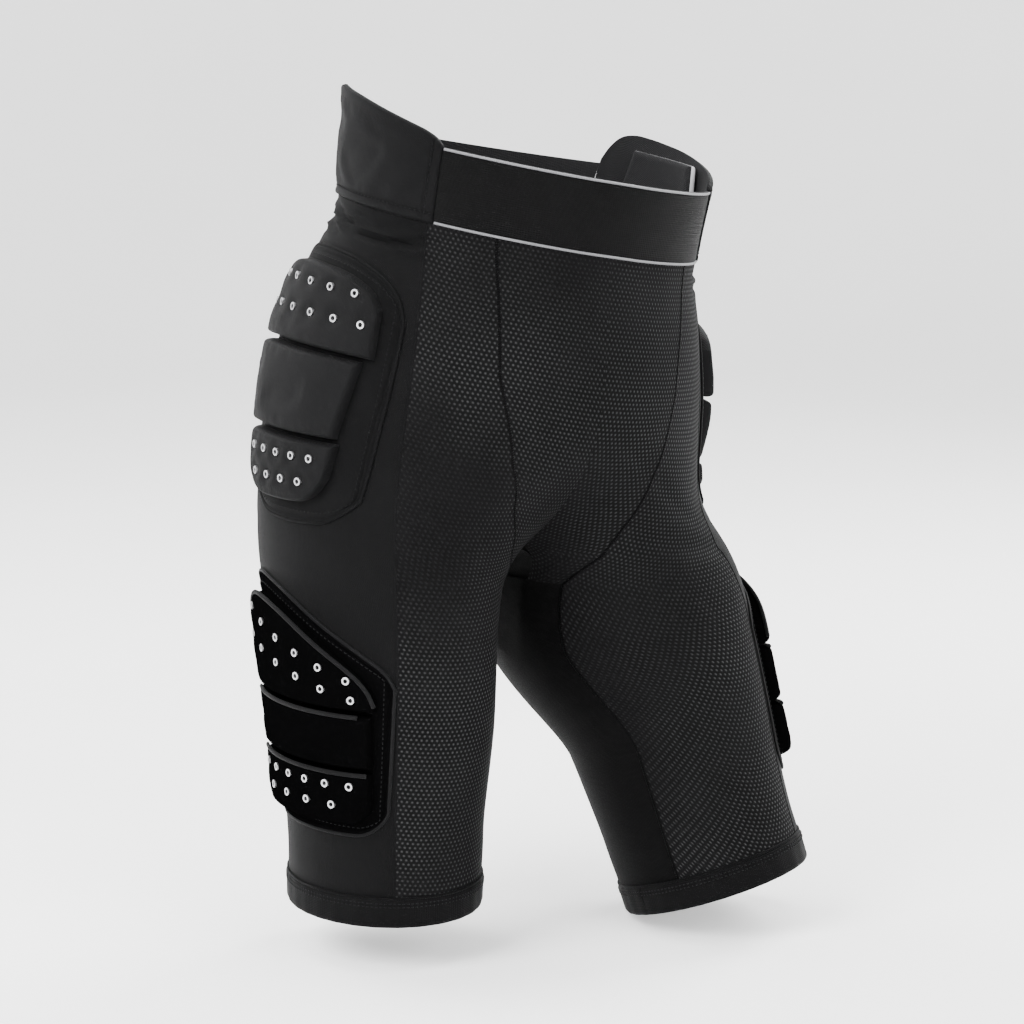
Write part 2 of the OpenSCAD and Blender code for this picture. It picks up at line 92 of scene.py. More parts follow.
HALF_W = table((HEM, HIP_W/2), (-260, HIP_W/2), (-200, HIP_W/2), (-150, HIP_W/2 - 1),
               (-100, (WAIST_W + 2*HIP_W)/6 - 5.3), (-55, WAIST_W/2 - 4), (0, WAIST_W/2), (40, WAIST_W/2 + 5))
FRONT = table((HEM, -HIP_D*0.475), (-200, -HIP_D*0.475), (-150, -HIP_D*0.466), (-100, -WAIST_D/2 - 5),
              (-55, -WAIST_D/2), (0, -WAIST_D/2), (40, -WAIST_D/2 - 3))
BACK = table((HEM, HIP_D*0.517), (-260, HIP_D*0.517), (-200, HIP_D*0.535), (-150, HIP_D*0.526),
             (-100, WAIST_D/2 + 14), (-55, WAIST_D/2 + 2), (0, WAIST_D/2), (40, WAIST_D/2 + 3))
LEG_X = table((HEM, HIP_W*0.267), (-400, HIP_W*0.27), (-330, HIP_W*0.27), (-270, HIP_W*0.264),
              (-200, HIP_W*0.258), (-120, HIP_W*0.252), (40, HIP_W*0.252))
LEG_W = table((HEM, HEM_W/2), (-460, HEM_W/2 + 1), (-400, HEM_W/2 + 5), (-330, THIGH_W/2 - 5),
              (-270, THIGH_W/2), (40, THIGH_W/2))
LEG_Y = table((HEM, 3), (-460, 2), (-400, 0), (-330, 0), (-270, 2), (-200, 4), (40, 6))
LEG_D = table((HEM, HEM_D/2), (-460, HEM_D/2 + 3), (-400, HEM_D/2 + 10), (-330, HEM_D/2 + 19),
              (-270, HIP_D*0.41), (-200, HIP_D*0.448), (40, HIP_D*0.474))


def mix(a, b, t):
    return a + (b - a)*t


def ease(t):
    t = np.clip(t, 0, 1)
    return t*t*(3 - 2*t)


def at(rows, z):
    """Smooth lookup in a table of (drop, value)."""
    z = np.asarray(z, float)
    i = np.clip(np.searchsorted(rows[:, 0], z, side="right") - 1, 0, len(rows) - 2)

    def slope(k):
        a, b = np.maximum(k - 1, 0), np.minimum(k + 1, len(rows) - 1)
        return (rows[b, 1] - rows[a, 1])/(rows[b, 0] - rows[a, 0])
    h = rows[i + 1, 0] - rows[i, 0]
    t = np.clip((z - rows[i, 0])/h, 0, 1)
    s, c = t*t, t*t*t
    return ((2*c - 3*s + 1)*rows[i, 1] + (c - 2*s + t)*h*slope(i)
            + (3*s - 2*c)*rows[i + 1, 1] + (c - s)*h*slope(i + 1))


def along(*rows):
    """A straight-line table as a function."""
    rows = sorted(rows)
    xs, ys = [r[0] for r in rows], [r[1] for r in rows]
    return lambda x: np.interp(x, xs, ys)


def curve(*rows):
    """A smooth table as a function."""
    rows = table(*sorted(rows))
    return lambda x: at(rows, x)


def torso_part(z):
    return ease((z - CROTCH + 30)/140)


def torso(z):
    front, back = at(FRONT, z), at(BACK, z)
    return at(HALF_W, z), (front + back)/2, (back - front)/2


def reach(th, z):
    """Distance of the surface from the leg axis."""
    s, c = np.sin(np.radians(th)), -np.cos(np.radians(th))
    cx, cy = at(LEG_X, z), at(LEG_Y, z)
    leg = 1/np.sqrt((s/at(LEG_W, z))**2 + (c/at(LEG_D, z))**2)
    a, y0, b = torso(z)
    qa = s*s/a/a + c*c/b/b
    qb = 2*(cx*s/a/a + (cy - y0)*c/b/b)
    qc = cx*cx/a/a + ((cy - y0)/b)**2 - 1
    return mix(leg, (-qb + np.sqrt(np.maximum(qb*qb - 4*qa*qc, 1e-9)))/2/qa, torso_part(z))


def legs_apart(z):
    d = np.maximum(CROTCH - z, 0)
    return ARCH_WIDE*np.where(d < ARCH, np.sqrt(np.maximum(ARCH*ARCH - (ARCH - d)**2, 0)), ARCH)


def middle(z, lo, hi):
    """Angle at which the surface meets the plane between the legs."""
    z = np.asarray(z, float)
    front, x = lo < 90, legs_apart(z)
    lo, hi = np.full(z.shape, float(lo)), np.full(z.shape, float(hi))
    for _ in range(24):
        m = (lo + hi)/2
        up = (at(LEG_X, z) + reach(m, z)*np.sin(np.radians(m)) < x) == front
        lo, hi = np.where(up, m, lo), np.where(up, hi, m)
    return (lo + hi)/2


def front_mid(z):
    return middle(z, -90, 30)


def back_mid(z):
    return middle(z, 150, 270)


def flat(th, z, off):
    th, z = np.broadcast_arrays(np.asarray(th, float), np.asarray(z, float))
    r, cx, cy = reach(th, z), at(LEG_X, z), at(LEG_Y, z)
    x = np.maximum(cx + r*np.sin(np.radians(th)), legs_apart(z))
    y = cy - r*np.cos(np.radians(th))
    w = torso_part(z)
    a, y0, b = torso(z)
    nx = mix((x - cx)/at(LEG_W, z)**2, x/a/a, w)
    ny = mix((y - cy)/at(LEG_D, z)**2, (y - y0)/b/b, w)
    nx = np.where(z > CROTCH, nx*np.clip(x/20, 0, 1), nx)
    size = np.sqrt(nx*nx + ny*ny)
    return np.stack([x + off*nx/size, y + off*ny/size, z + 0*x], -1)


def turn_x(v, a):
    c, s = np.cos(np.radians(a)), np.sin(np.radians(a))
    return np.stack([v[..., 0], v[..., 1]*c + v[..., 2]*s, -v[..., 1]*s + v[..., 2]*c], -1)


def turn_y(v, a):
    c, s = np.cos(np.radians(a)), np.sin(np.radians(a))
    return np.stack([v[..., 0]*c - v[..., 2]*s, v[..., 1], v[..., 0]*s + v[..., 2]*c], -1)


def pose(side, p):
    """From the pattern to the worn stride, in metres."""
    lean = np.radians(SPREAD)
    w = ease((p[..., 0]*np.sin(lean) - (p[..., 2] - CROTCH + 5)*np.cos(lean))/SPREAD_BAND)
    u = turn_y(turn_x(p - HIP, w*FORWARD[side]), w*OUT[side]) + HIP
    z = u[..., 2] - DIP*np.clip((u[..., 2] + 260)/200, 0, 1)*np.clip(-u[..., 1]/100, -0.4, 1)
    return turn_y(np.stack([side*u[..., 0], u[..., 1], z], -1), -TILT)*MM


def bump(x, centre, width):
    return np.exp(-((x - centre)/width)**2)


def under_pads(th, z):
    """1 where a pad covers the fabric, so the fabric lies still there."""
    hip = ease((-72 - z)/8)*ease((z + 260)/8)
    thigh = ease((-280 - z)/8)*ease((z + 464)/8)
    return ease((th - 26)/9)*ease((162 - th)/9)*(hip + thigh)


def slack(side, th, z):
    """How far the fabric stands off its smooth shape, in mm."""
    t = np.radians(th)
    under_wing = bump(z, -64, 9)*ease((th - 12)/25)*ease((176 - th)/20)
    droop = z + 7*np.sin(np.radians(th*2.2) + side)
    gather = under_wing*(2.0*np.sin(droop*0.55 + 1.4*np.sin(2.3*t + side)) + 0.9*np.sin(z*0.9 + 3.1*t) - 0.9)
    groin = bump(z + 0.9*(th - 10), CROTCH, 13)*ease((60 - th)/40)*ease((th + 55)/30)*-2.0
    crease = bump(z + 1.3*(th - 10), CROTCH + 34, 9)*ease((28 - th)/30)*ease((th + 45)/30)*-1.1
    seat = bump(z - 0.5*(th - 180), -268, 12)*ease((th - 150)/25)*-1.8
    ripple = 0.45*np.sin(0.045*z + 3.2*t + side)*np.sin(0.021*z - 2.1*t + 1.7)
    knee = 0.5*bump(z, -478, 14)*np.sin(5*t + side)*ease((z - HEM - 18)/12)
    still = 1 - under_pads(th, z)
    return (gather*ease((z + 82)/8) + groin + crease + seat + (ripple + knee)*ease((-52 - z)/20)*ease((z - HEM)/30))*still


def place(side, th, z, off):
    from_middle = flat(th, z, 0)[..., 0]
    return pose(side, flat(th, z, off + slack(side, th, z)*ease(from_middle/25)))


# ---------------------------------------------------------------- grids
def level(z):
    return lambda u: z + 0*u


def spaced(n, edge):
    """n + 1 shares from 0 to 1, drawn towards both ends by edge."""
    t = np.linspace(0, 1, n + 1)
    return mix(t, (1 - np.cos(np.pi*t))/2, edge)


def spans(grid):
    """Lengths of a grid of points' steps, across and down."""
    return (np.linalg.norm(np.diff(grid, axis=k), axis=2) for k in (1, 0))


class Patch:
    """A piece of the pattern on one side, or over the middle when side is None."""

    def __init__(self, side, e0, e1, top, bottom, nu, nv, edge=0.0):
        v = spaced(nv, edge)[:, None]
        self.edges = side, e0, e1, top, bottom
        u = spaced(nu, edge)[None, :]
        self.sides, self.th, self.z = self.at_share(u, v)
        self.u, self.v = u + 0*self.z, v + 0*self.z
        base = self.points(0)/MM
        du, dv = spans(base)
        across = np.concatenate([np.zeros((nv + 1, 1)), np.cumsum(du, 1)], 1)
        down = np.concatenate([np.zeros((1, base.shape[1])), np.cumsum(dv, 0)], 0)
        self.to_side = np.minimum(across, across[:, -1:] - across)
        self.to_end = np.minimum(down, down[-1:] - down)
        mid = across[:, across.shape[1]//2][:, None]
        self.cut = np.stack([across - mid, down], -1)
        self.size = (float(across[:, -1].mean()), float(down[-1].mean()))

    def at_share(self, u, v):
        """Side, angle and drop at shares across and down."""
        side, e0, e1, top, bottom = self.edges
        share = np.abs(u*2 - 1) if side is None else u
        z = mix(top(share), bottom(share), v)
        sides = np.where(u < 0.5, RIGHT, LEFT) + 0*z.astype(int) if side is None else np.full(z.shape, side)
        return sides, mix(e0(z), e1(z), share + 0*z), z

    def ring(self, inset, off, n=240):
        """Points and outward directions once round the patch, inset in mm."""
        du, dv = inset/self.size[0], inset/self.size[1]
        t = np.linspace(0, 4, n + 1)[:-1]
        u = np.interp(t, [0, 1, 2, 3, 4], [du, 1 - du, 1 - du, du, du])
        v = np.interp(t, [0, 1, 2, 3, 4], [dv, dv, 1 - dv, 1 - dv, dv])
        sides, th, z = self.at_share(u, v)
        a, b = np.empty((n, 3)), np.empty((n, 3))
        for s in (RIGHT, LEFT):
            m = sides == s
            if m.any():
                a[m], b[m] = place(s, th[m], z[m], off), place(s, th[m], z[m], off + 1)
        up = b - a
        return a, up/np.linalg.norm(up, axis=1, keepdims=True)

    def points(self, off):
        out = np.empty(self.z.shape + (3,))
        off = off + 0*self.z
        for s in (RIGHT, LEFT):
            m = self.sides == s
            if m.any():
                out[m] = place(s, self.th[m], self.z[m], off[m])
        return out

    def to_border(self):
        a, b = np.maximum(self.to_side, 1e-6), np.maximum(self.to_end, 1e-6)
        return a*b/np.sqrt(a*a + b*b)


def add_mesh(name, verts, faces, material, uvs=None, smooth=40, lining=None):
    me = bpy.data.meshes.new(name)
    me.from_pydata([tuple(v) for v in verts], [], faces)
    layer = me.uv_layers.new(name="cut")
    if uvs is not None:
        loops = np.empty(len(me.loops), int)
        me.loops.foreach_get("vertex_index", loops)
        layer.data.foreach_set("uv", np.asarray(uvs, np.float32)[loops].ravel())
    me.update()
    ob = bpy.data.objects.new(name, me)
    bpy.context.scene.collection.objects.link(ob)
    me.materials.append(material)
    if lining:
        me.materials.append(lining[0])
        for k in lining[1]:
            me.polygons[k].material_index = 1
    bm = bmesh.new()
    bm.from_mesh(me)
    bmesh.ops.recalc_face_normals(bm, faces=bm.faces)
    for f in bm.faces:
        f.smooth = True
    for e in bm.edges:
        if len(e.link_faces) == 2 and e.calc_face_angle(0) > math.radians(smooth):
            e.smooth = False
    bm.to_mesh(me)
    bm.free()
    return ob


def border_walk(m, n):
    """Rows and columns once round the border of an m by n grid."""
    steps = ([(0, k) for k in range(n)] + [(k, n - 1) for k in range(1, m)]
             + [(m - 1, k) for k in range(n - 2, -1, -1)] + [(k, 0) for k in range(m - 2, 0, -1)])
    return np.array(steps).T


def between(name, a, b, cut, material, smooth=50, lining=None):
    """Closed solid between two grids of points, its inner face a in lining if given."""
    m, n = a.shape[:2]
    size = m*n
    i, j = np.meshgrid(np.arange(m - 1), np.arange(n - 1), indexing="ij")
    q = (i*n + j).ravel()
    out = np.stack([q + size, q + n + size, q + n + 1 + size, q + 1 + size], 1)
    ins = np.stack([q, q + 1, q + n + 1, q + n], 1)
    rows, cols = border_walk(m, n)
    ring = rows*n + cols
    nxt = np.roll(ring, -1)
    wall = np.stack([ring, nxt, nxt + size, ring + size], 1)
    faces = np.concatenate([out, ins, wall]).tolist()
    uv = np.concatenate([cut.reshape(-1, 2)]*2)*MM
    lined = (finish_named(lining), range(len(out), len(out) + len(ins))) if lining else None
    verts = np.concatenate([a.reshape(-1, 3), b.reshape(-1, 3)])
    return add_mesh(name, verts, faces, material, uv, smooth, lined)


def shell(name, patch, inner, outer, material, smooth=50, lining=None):
    """Closed solid between two offsets of a patch."""
    return between(name, patch.points(inner), patch.points(outer), patch.cut, material, smooth, lining)


def tube(name, path, wide, tall, material, closed=False, segments=6):
    """A cord along points, wide across the surface and tall off it; path is (points, outward)."""
    p, up = path
    d = np.gradient(p, axis=0)
    if closed:
        d = np.roll(p, -1, 0) - np.roll(p, 1, 0)
    d /= np.maximum(np.linalg.norm(d, axis=1, keepdims=True), 1e-9)
    across = np.cross(d, up)
    across /= np.maximum(np.linalg.norm(across, axis=1, keepdims=True), 1e-9)
    up = np.cross(across, d)
    ang = np.arange(segments)*2*np.pi/segments
    rings = p[:, None] + (across[:, None]*np.cos(ang)[None, :, None]*wide + up[:, None]*np.sin(ang)[None, :, None]*tall)*MM/2
    n, k = len(p), segments
    faces = []
    for a in range(n if closed else n - 1):
        b = (a + 1) % n
        faces += [[a*k + s, a*k + (s + 1) % k, b*k + (s + 1) % k, b*k + s] for s in range(k)]
    if not closed:
        faces += [list(range(k))[::-1], [(n - 1)*k + s for s in range(k)]]
    run = np.concatenate([[0], np.cumsum(np.linalg.norm(np.diff(p, axis=0), axis=1))])
    uv = np.stack([np.tile(ang/6.3*wide*MM, n), np.repeat(run, k)], 1)
    return add_mesh(name, rings.reshape(-1, 3), faces, material, uv, 80)


def line(side, th, z, off):
    th, z = np.broadcast_arrays(np.asarray(th, float), np.asarray(z, float))
    a = place(side, th, z, off)
    up = place(side, th, z, off + 1) - a
    return a, up/np.linalg.norm(up, axis=1, keepdims=True)


def stitches(name, path, material, pitch=3.4, share=0.66, wide=0.75, closed=True):
    """A row of short threads along a path."""
    p, up = path
    if closed:
        p, up = np.concatenate([p, p[:1]]), np.concatenate([up, up[:1]])
    run = np.concatenate([[0], np.cumsum(np.linalg.norm(np.diff(p, axis=0), axis=1))])/MM
    verts, faces = [], []
    for k in range(int(run[-1]/pitch)):
        t = k*pitch + np.array([0, 0.18, 0.5, 0.82, 1])*pitch*share
        q = np.stack([np.interp(t, run, p[:, c]) for c in range(3)], 1)
        n = np.stack([np.interp(t, run, up[:, c]) for c in range(3)], 1)
        d = q[-1] - q[0]
        d /= max(np.linalg.norm(d), 1e-9)
        across = np.cross(d, n)
        lift = np.array([-0.35, 0.1, 0.25, 0.1, -0.35])*MM
        start = len(verts)
        for c in range(5):
            r = wide*MM/2*(0.5 if c in (0, 4) else 1)
            for a in np.arange(5)*2*np.pi/5:
                verts.append(q[c] + n[c]*(lift[c] + r*np.sin(a)) + across[c]*r*np.cos(a))
        for c in range(4):
            low, high = start + c*5, start + c*5 + 5
            faces += [[low + a, low + (a + 1) % 5, high + (a + 1) % 5, high + a] for a in range(5)]
        faces += [[start + a for a in range(5)][::-1], [start + 20 + a for a in range(5)]]
    return add_mesh(name, np.array(verts), faces, material, np.zeros((len(verts), 2)), 80)


REHEARSAL_FRAMES, REHEARSAL_GRID = 20, (31, 55)
SWELL_LEAST, SWELL_MOST = -0.6, 2.2


def swell(patch, base, pinned, force, excess=0.012):
    """Offsets in mm of a pad cover blown up by cloth simulation, held at its border and vents."""
    rows = np.unique(np.linspace(0, patch.z.shape[0] - 1, REHEARSAL_GRID[0]).round().astype(int))
    cols = np.unique(np.linspace(0, patch.z.shape[1] - 1, REHEARSAL_GRID[1]).round().astype(int))
    start = patch.points(base)[np.ix_(rows, cols)]
    out = (patch.points(base + 1) - patch.points(base))[np.ix_(rows, cols)]
    out /= np.linalg.norm(out, axis=2, keepdims=True)
    m, n = start.shape[:2]
    faces = [[i*n + j, i*n + j + 1, i*n + n + j + 1, i*n + n + j] for i in range(m - 1) for j in range(n - 1)]
    ob = add_mesh("cover_rehearsal", start.reshape(-1, 3), faces, finish_named("pad"))
    me, away = ob.data, out.reshape(-1, 3)
    if sum(np.dot(np.array(f.normal), away[f.vertices[0]]) for f in me.polygons) < 0:
        me.flip_normals()
    held = pinned[np.ix_(rows, cols)].ravel()
    pins = ob.vertex_groups.new(name="pins")
    for k in np.nonzero(held > 0)[0]:
        pins.add([int(k)], float(held[k]), "REPLACE")
    cloth_mod = ob.modifiers.new("cloth", "CLOTH")
    c = cloth_mod.settings
    c.quality, c.mass = 6, 0.2
    c.tension_stiffness = c.compression_stiffness = 20
    c.shear_stiffness, c.bending_stiffness = 8, 6.0
    c.use_pressure, c.uniform_pressure_force = True, force
    c.shrink_min = -excess
    c.vertex_group_mass = "pins"
    c.effector_weights.gravity = 0
    cloth_mod.point_cache.frame_start, cloth_mod.point_cache.frame_end = 1, REHEARSAL_FRAMES
    scene = bpy.context.scene
    for f in range(1, REHEARSAL_FRAMES + 1):
        scene.frame_set(f)
    done = ob.evaluated_get(bpy.context.evaluated_depsgraph_get())
    at_end = np.empty(len(done.data.vertices)*3)
    done.data.vertices.foreach_get("co", at_end)
    move = ((at_end.reshape(m, n, 3) - start)*out).sum(2)/MM
    scene.frame_set(1)
    bpy.data.objects.remove(ob)
    move = np.clip(np.nan_to_num(move), SWELL_LEAST, SWELL_MOST)
    for _ in range(2):
        move[1:-1, 1:-1] = (move[1:-1, 1:-1]*4 + move[:-2, 1:-1] + move[2:, 1:-1] + move[1:-1, :-2] + move[1:-1, 2:])/8
    wide = np.stack([np.interp(np.arange(patch.z.shape[1]), cols, r) for r in move])
    return np.stack([np.interp(np.arange(patch.z.shape[0]), rows, c) for c in wide.T], 1)


def joined(name, parts):
    bpy.ops.object.select_all(action="DESELECT")
    for p in parts:
        p.select_set(True)
    bpy.context.view_layer.objects.active = parts[0]
    bpy.ops.object.join()
    parts[0].name = name
    return parts[0]


BLEND_LEAN, BLEND_BAND = 12.0, 60.0


def across_hip(ob, side):
    """Bakes the object's placement into its mesh; the tilt of a pelvis-to-leg bend plane is worked out but not
    applied.
    """
    n = np.array([np.sin(np.radians(BLEND_LEAN)), 0, -np.cos(np.radians(BLEND_LEAN))])
    n = turn_y(turn_x(n, FORWARD[side]/2), OUT[side]/2)*np.array([side, 1, 1])
    n = turn_y(n, -TILT)
    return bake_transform(ob)


# ---------------------------------------------------------------- finishes
def nodes_of(name):
    mat = bpy.data.materials.new(name)
    mat.use_nodes = True
    return mat, mat.node_tree, mat.node_tree.nodes["Principled BSDF"]


def math_node(nt, op, a, b=None):
    n = nt.nodes.new("ShaderNodeMath")
    n.operation = op
    for k, v in enumerate((a, b)):
        if v is None:
            continue
        if isinstance(v, (int, float)):
            n.inputs[k].default_value = v
        else:
            nt.links.new(v, n.inputs[k])
    return n.outputs[0]


def vec_node(nt, op, a, b=None):
    n = nt.nodes.new("ShaderNodeVectorMath")
    n.operation = op
    for k, v in enumerate((a, b)):
        if v is None:
            continue
        if isinstance(v, tuple):
            n.inputs[k].default_value = v
        else:
            nt.links.new(v, n.inputs[k])
    return n.outputs["Value" if op in ("LENGTH", "DOT_PRODUCT") else "Vector"]


def ramp(nt, fac, stops):
    n = nt.nodes.new("ShaderNodeValToRGB")
    nt.links.new(fac, n.inputs[0])
    while len(n.color_ramp.elements) < len(stops):
        n.color_ramp.elements.new(0.5)
    for e, (pos, col) in zip(n.color_ramp.elements, stops):
        e.position = pos
        e.color = (*col, 1) if len(col) == 3 else col
    return n.outputs[0]


def noise(nt, vec, scale, detail=3.0):
    n = nt.nodes.new("ShaderNodeTexNoise")
    n.inputs["Scale"].default_value = scale
    n.inputs["Detail"].default_value = detail
    nt.links.new(vec, n.inputs["Vector"])
    return n.outputs[0]


def cut_uv(nt):
    n = nt.nodes.new("ShaderNodeUVMap")
    n.uv_map = "cut"
    return n.outputs[0]


def add_bump(nt, bsdf, height, distance, strength=1.0):
    n = nt.nodes.new("ShaderNodeBump")
    n.inputs["Distance"].default_value = distance
    n.inputs["Strength"].default_value = strength
    nt.links.new(height, n.inputs["Height"])
    nt.links.new(n.outputs[0], bsdf.inputs["Normal"])


def grey(v):
    return (v, v, v*1.05)


def hex_field(nt, pitch):
    """Distance from the nearest centre of a honeycomb, in pitches."""
    p = vec_node(nt, "SCALE", cut_uv(nt))
    p.node.inputs["Scale"].default_value = 1/pitch
    cell, half = (1.0, math.sqrt(3), 1.0), (0.5, math.sqrt(3)/2, 0.5)

    def one(q):
        w = vec_node(nt, "SUBTRACT", vec_node(nt, "MODULO", q, cell), half)
        flat_w = vec_node(nt, "MULTIPLY", w, (1.0, 1.0, 0.0))
        return vec_node(nt, "LENGTH", flat_w)
    q = vec_node(nt, "ADD", p, (400.0, 400.0*math.sqrt(3), 0.0))
    return math_node(nt, "MINIMUM", one(q), one(vec_node(nt, "ADD", q, half)))


def knit_mesh():
    """Open knit: small raised knots in a honeycomb over a dark ground, the knots painted lighter as highlights that a
    noise fades unevenly.
    """
    mat, nt, b = nodes_of("knit_mesh")
    d = hex_field(nt, 0.0034)
    obj = nt.nodes.new("ShaderNodeTexCoord").outputs["Object"]
    # painted highlight: a noise sets how strongly each knot is painted bright
    highlight_fade = ramp(nt, noise(nt, obj, 9.0, 4.0), [(0.38, (0.12,)*3), (0.64, (1.0,)*3)])
    knot = ramp(nt, d, [(0.08, (1.0,)*3), (0.30, (0.0,)*3)])
    tone = bpy.context.scene.shorts_colours.mesh
    ground = ramp(nt, noise(nt, obj, 16.0, 4.0), [(0.3, grey(tone*0.8)), (0.7, grey(tone*1.25))])
    m = nt.nodes.new("ShaderNodeMix")
    m.data_type = "RGBA"
    nt.links.new(math_node(nt, "MULTIPLY", knot, highlight_fade), m.inputs["Factor"])
    nt.links.new(ground, m.inputs["A"])
    # painted highlight: the knots' colour is nine times the ground tone
    m.inputs["B"].default_value = (tone*9, tone*9, tone*9.2, 1)
    nt.links.new(m.outputs["Result"], b.inputs["Base Color"])
    nt.links.new(ramp(nt, d, [(0.12, (0.5,)*3), (0.4, (0.85,)*3)]), b.inputs["Roughness"])
    b.inputs["Sheen Weight"].default_value = 0.004
    b.inputs["Sheen Roughness"].default_value = 0.5
    b.inputs["Specular IOR Level"].default_value = 0.04
    fine = noise(nt, obj, 1800.0, 2.0)
    height = math_node(nt, "ADD", knot, math_node(nt, "MULTIPLY", fine, 0.2))
    add_bump(nt, b, height, 0.0004, 0.8)
    return mat


def cloth(name, tone, rough=0.7, sheen=0.005, rib=0.0009, depth=0.00012, spec=0.03, mottle=0.2, slant=0.35):
    """Close knit with a fine slanted rib and a soft sheen."""
    mat, nt, b = nodes_of(name)
    obj = nt.nodes.new("ShaderNodeTexCoord").outputs["Object"]
    sep = nt.nodes.new("ShaderNodeSeparateXYZ")
    nt.links.new(cut_uv(nt), sep.inputs[0])
    run = math_node(nt, "ADD", sep.outputs[1], math_node(nt, "MULTIPLY", sep.outputs[0], slant))
    wave = math_node(nt, "SINE", math_node(nt, "MULTIPLY", run, 2*math.pi/rib))
    cross = math_node(nt, "SINE", math_node(nt, "MULTIPLY", sep.outputs[0], 2*math.pi/(rib*1.3)))
    fine = noise(nt, obj, 900.0, 3.0)
    ribs = math_node(nt, "ADD", wave, math_node(nt, "MULTIPLY", cross, 0.5))
    height = math_node(nt, "ADD", ribs, math_node(nt, "MULTIPLY", fine, 1.5))
    cloud = noise(nt, obj, 11.0, 5.0)
    nt.links.new(ramp(nt, cloud, [(0.3, grey(tone*(1 - mottle))), (0.72, grey(tone*(1 + mottle)))]), b.inputs["Base Color"])
    nt.links.new(ramp(nt, fine, [(0.3, (rough - 0.06,)*3), (0.7, (rough + 0.06,)*3)]), b.inputs["Roughness"])
    b.inputs["Sheen Weight"].default_value = sheen
    b.inputs["Sheen Roughness"].default_value = 0.45
    b.inputs["Specular IOR Level"].default_value = spec
    add_bump(nt, b, height, depth, 0.8)
    return mat


def foam_finish():
    mat, nt, b = nodes_of("insert_foam")
    obj = nt.nodes.new("ShaderNodeTexCoord").outputs["Object"]
    cells = nt.nodes.new("ShaderNodeTexVoronoi")
    cells.inputs["Scale"].default_value = 1500.0
    nt.links.new(obj, cells.inputs["Vector"])
    cloud = noise(nt, obj, 20.0, 4.0)
    tone = bpy.context.scene.shorts_colours.foam
    nt.links.new(ramp(nt, cloud, [(0.3, tuple(c*0.9 for c in tone)), (0.7, tuple(c*1.08 for c in tone))]), b.inputs["Base Color"])
    nt.links.new(ramp(nt, cells.outputs["Distance"], [(0.1, (0.85,)*3), (0.6, (0.7,)*3)]), b.inputs["Roughness"])
    add_bump(nt, b, cells.outputs["Distance"], 0.0002, 0.5)
    return mat


def metal_finish():
    mat, nt, b = nodes_of("vent_ring_metal")
    obj = nt.nodes.new("ShaderNodeTexCoord").outputs["Object"]
    cloud = noise(nt, obj, 700.0, 3.0)
    b.inputs["Metallic"].default_value = 1.0
    nt.links.new(ramp(nt, cloud, [(0.3, (0.42, 0.42, 0.43)), (0.7, (0.62, 0.62, 0.63))]), b.inputs["Base Color"])
    nt.links.new(ramp(nt, cloud, [(0.3, (0.3,)*3), (0.7, (0.45,)*3)]), b.inputs["Roughness"])
    return mat


FINISH = {}


def finish_named(name):
    if name not in FINISH:
        colours = bpy.context.scene.shorts_colours
        FINISH[name] = {
            "mesh": knit_mesh,
            "lycra": lambda: cloth("side_lycra", colours.lycra, 0.6, 0.006),
            # painted shade: inner-leg and gusset cloth is the side lycra darkened to about a third, for the shade
            # between the legs
            "inner": lambda: cloth("inner_leg_lycra_painted_shade", colours.lycra*0.35, 0.7, 0.0, spec=0.04),
            "band": lambda: cloth("waistband_knit", colours.waistband, 0.6, 0.0, 0.0014, 0.00008, 0.05, slant=0.0),
            "lining": lambda: cloth("lining_knit", colours.lycra*3.0, 0.75, 0.02, 0.0012),
            "wing": lambda: cloth("wing_cover_cloth", colours.lycra*1.45, 0.58, 0.008),
            "pad": lambda: cloth("hip_pad_cloth", colours.pad, 0.62, 0.008, 0.0008, 0.00008, 0.04, 0.12),
            "thigh": lambda: cloth("thigh_pad_cloth", colours.thigh_pad, 0.5, 0.0, 0.0008, 0.00004, 0.0, 0.1),
            "flange": lambda: cloth("flange_cloth", colours.pad*0.75, 0.66, 0.005),
            "thigh_flange": lambda: cloth("thigh_flange_cloth", colours.thigh_pad*1.5, 0.6, 0.0, spec=0.0),
            "lip": lambda: cloth("thigh_edge_cloth", colours.pad*1.15, 0.55, 0.015, 0.0008, 0.00008),
            "hem": lambda: cloth("hem_band_cloth", colours.lycra*0.8, 0.6, 0.003, 0.0012, 0.0001, slant=0.0),
            "seam": lambda: cloth("seam_thread", colours.waistband*0.7, 0.65, 0.0, 0.0016, 0.0004, 0.04, slant=0.8),
            "thread": lambda: cloth("stitch_thread", colours.lycra*2.2, 0.5, 0.01, 0.0005, 0.00005),
            "binding": lambda: cloth("pocket_binding", colours.waistband, 0.7, 0.0, spec=0.05),
            "piping": lambda: cloth("piping_cord", colours.piping, 0.42, 0.0, 0.0012, 0.0002, 0.4, 0.06, 1.0),
            "foam": foam_finish,
            "metal": metal_finish,
        }[name]()
    return FINISH[name]


# ---------------------------------------------------------------- panels
EDGE_FRONT = along((HEM, -58), (-330, -56), (-284, -44), (CROTCH, -28), (-230, -18), (-200, -12), (-140, -3), (-50, 0))
EDGE_MESH = along((HEM, 30), (-50, 32))
EDGE_BACK = along((HEM, 160), (CROTCH, 158), (-150, 160), (-50, 158))
EDGE_SEAT = along((HEM, 222), (-330, 222), (-284, 220), (CROTCH, 212), (-200, 200), (-140, 190), (-50, 184))
TOP = level(-BAND)
LEG_BOTTOM = level(HEM + HEM_BAND)


def fabric_panel(name, side, e0, e1, top, bottom, nu, nv, finish, nodes):
    patch = Patch(side, e0, e1, top, bottom, nu, nv)
    ob = shell(name, patch, 0, FABRIC, finish_named(finish))
    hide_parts(*nodes)
    across_hip(ob, side)
    patch.points(0)


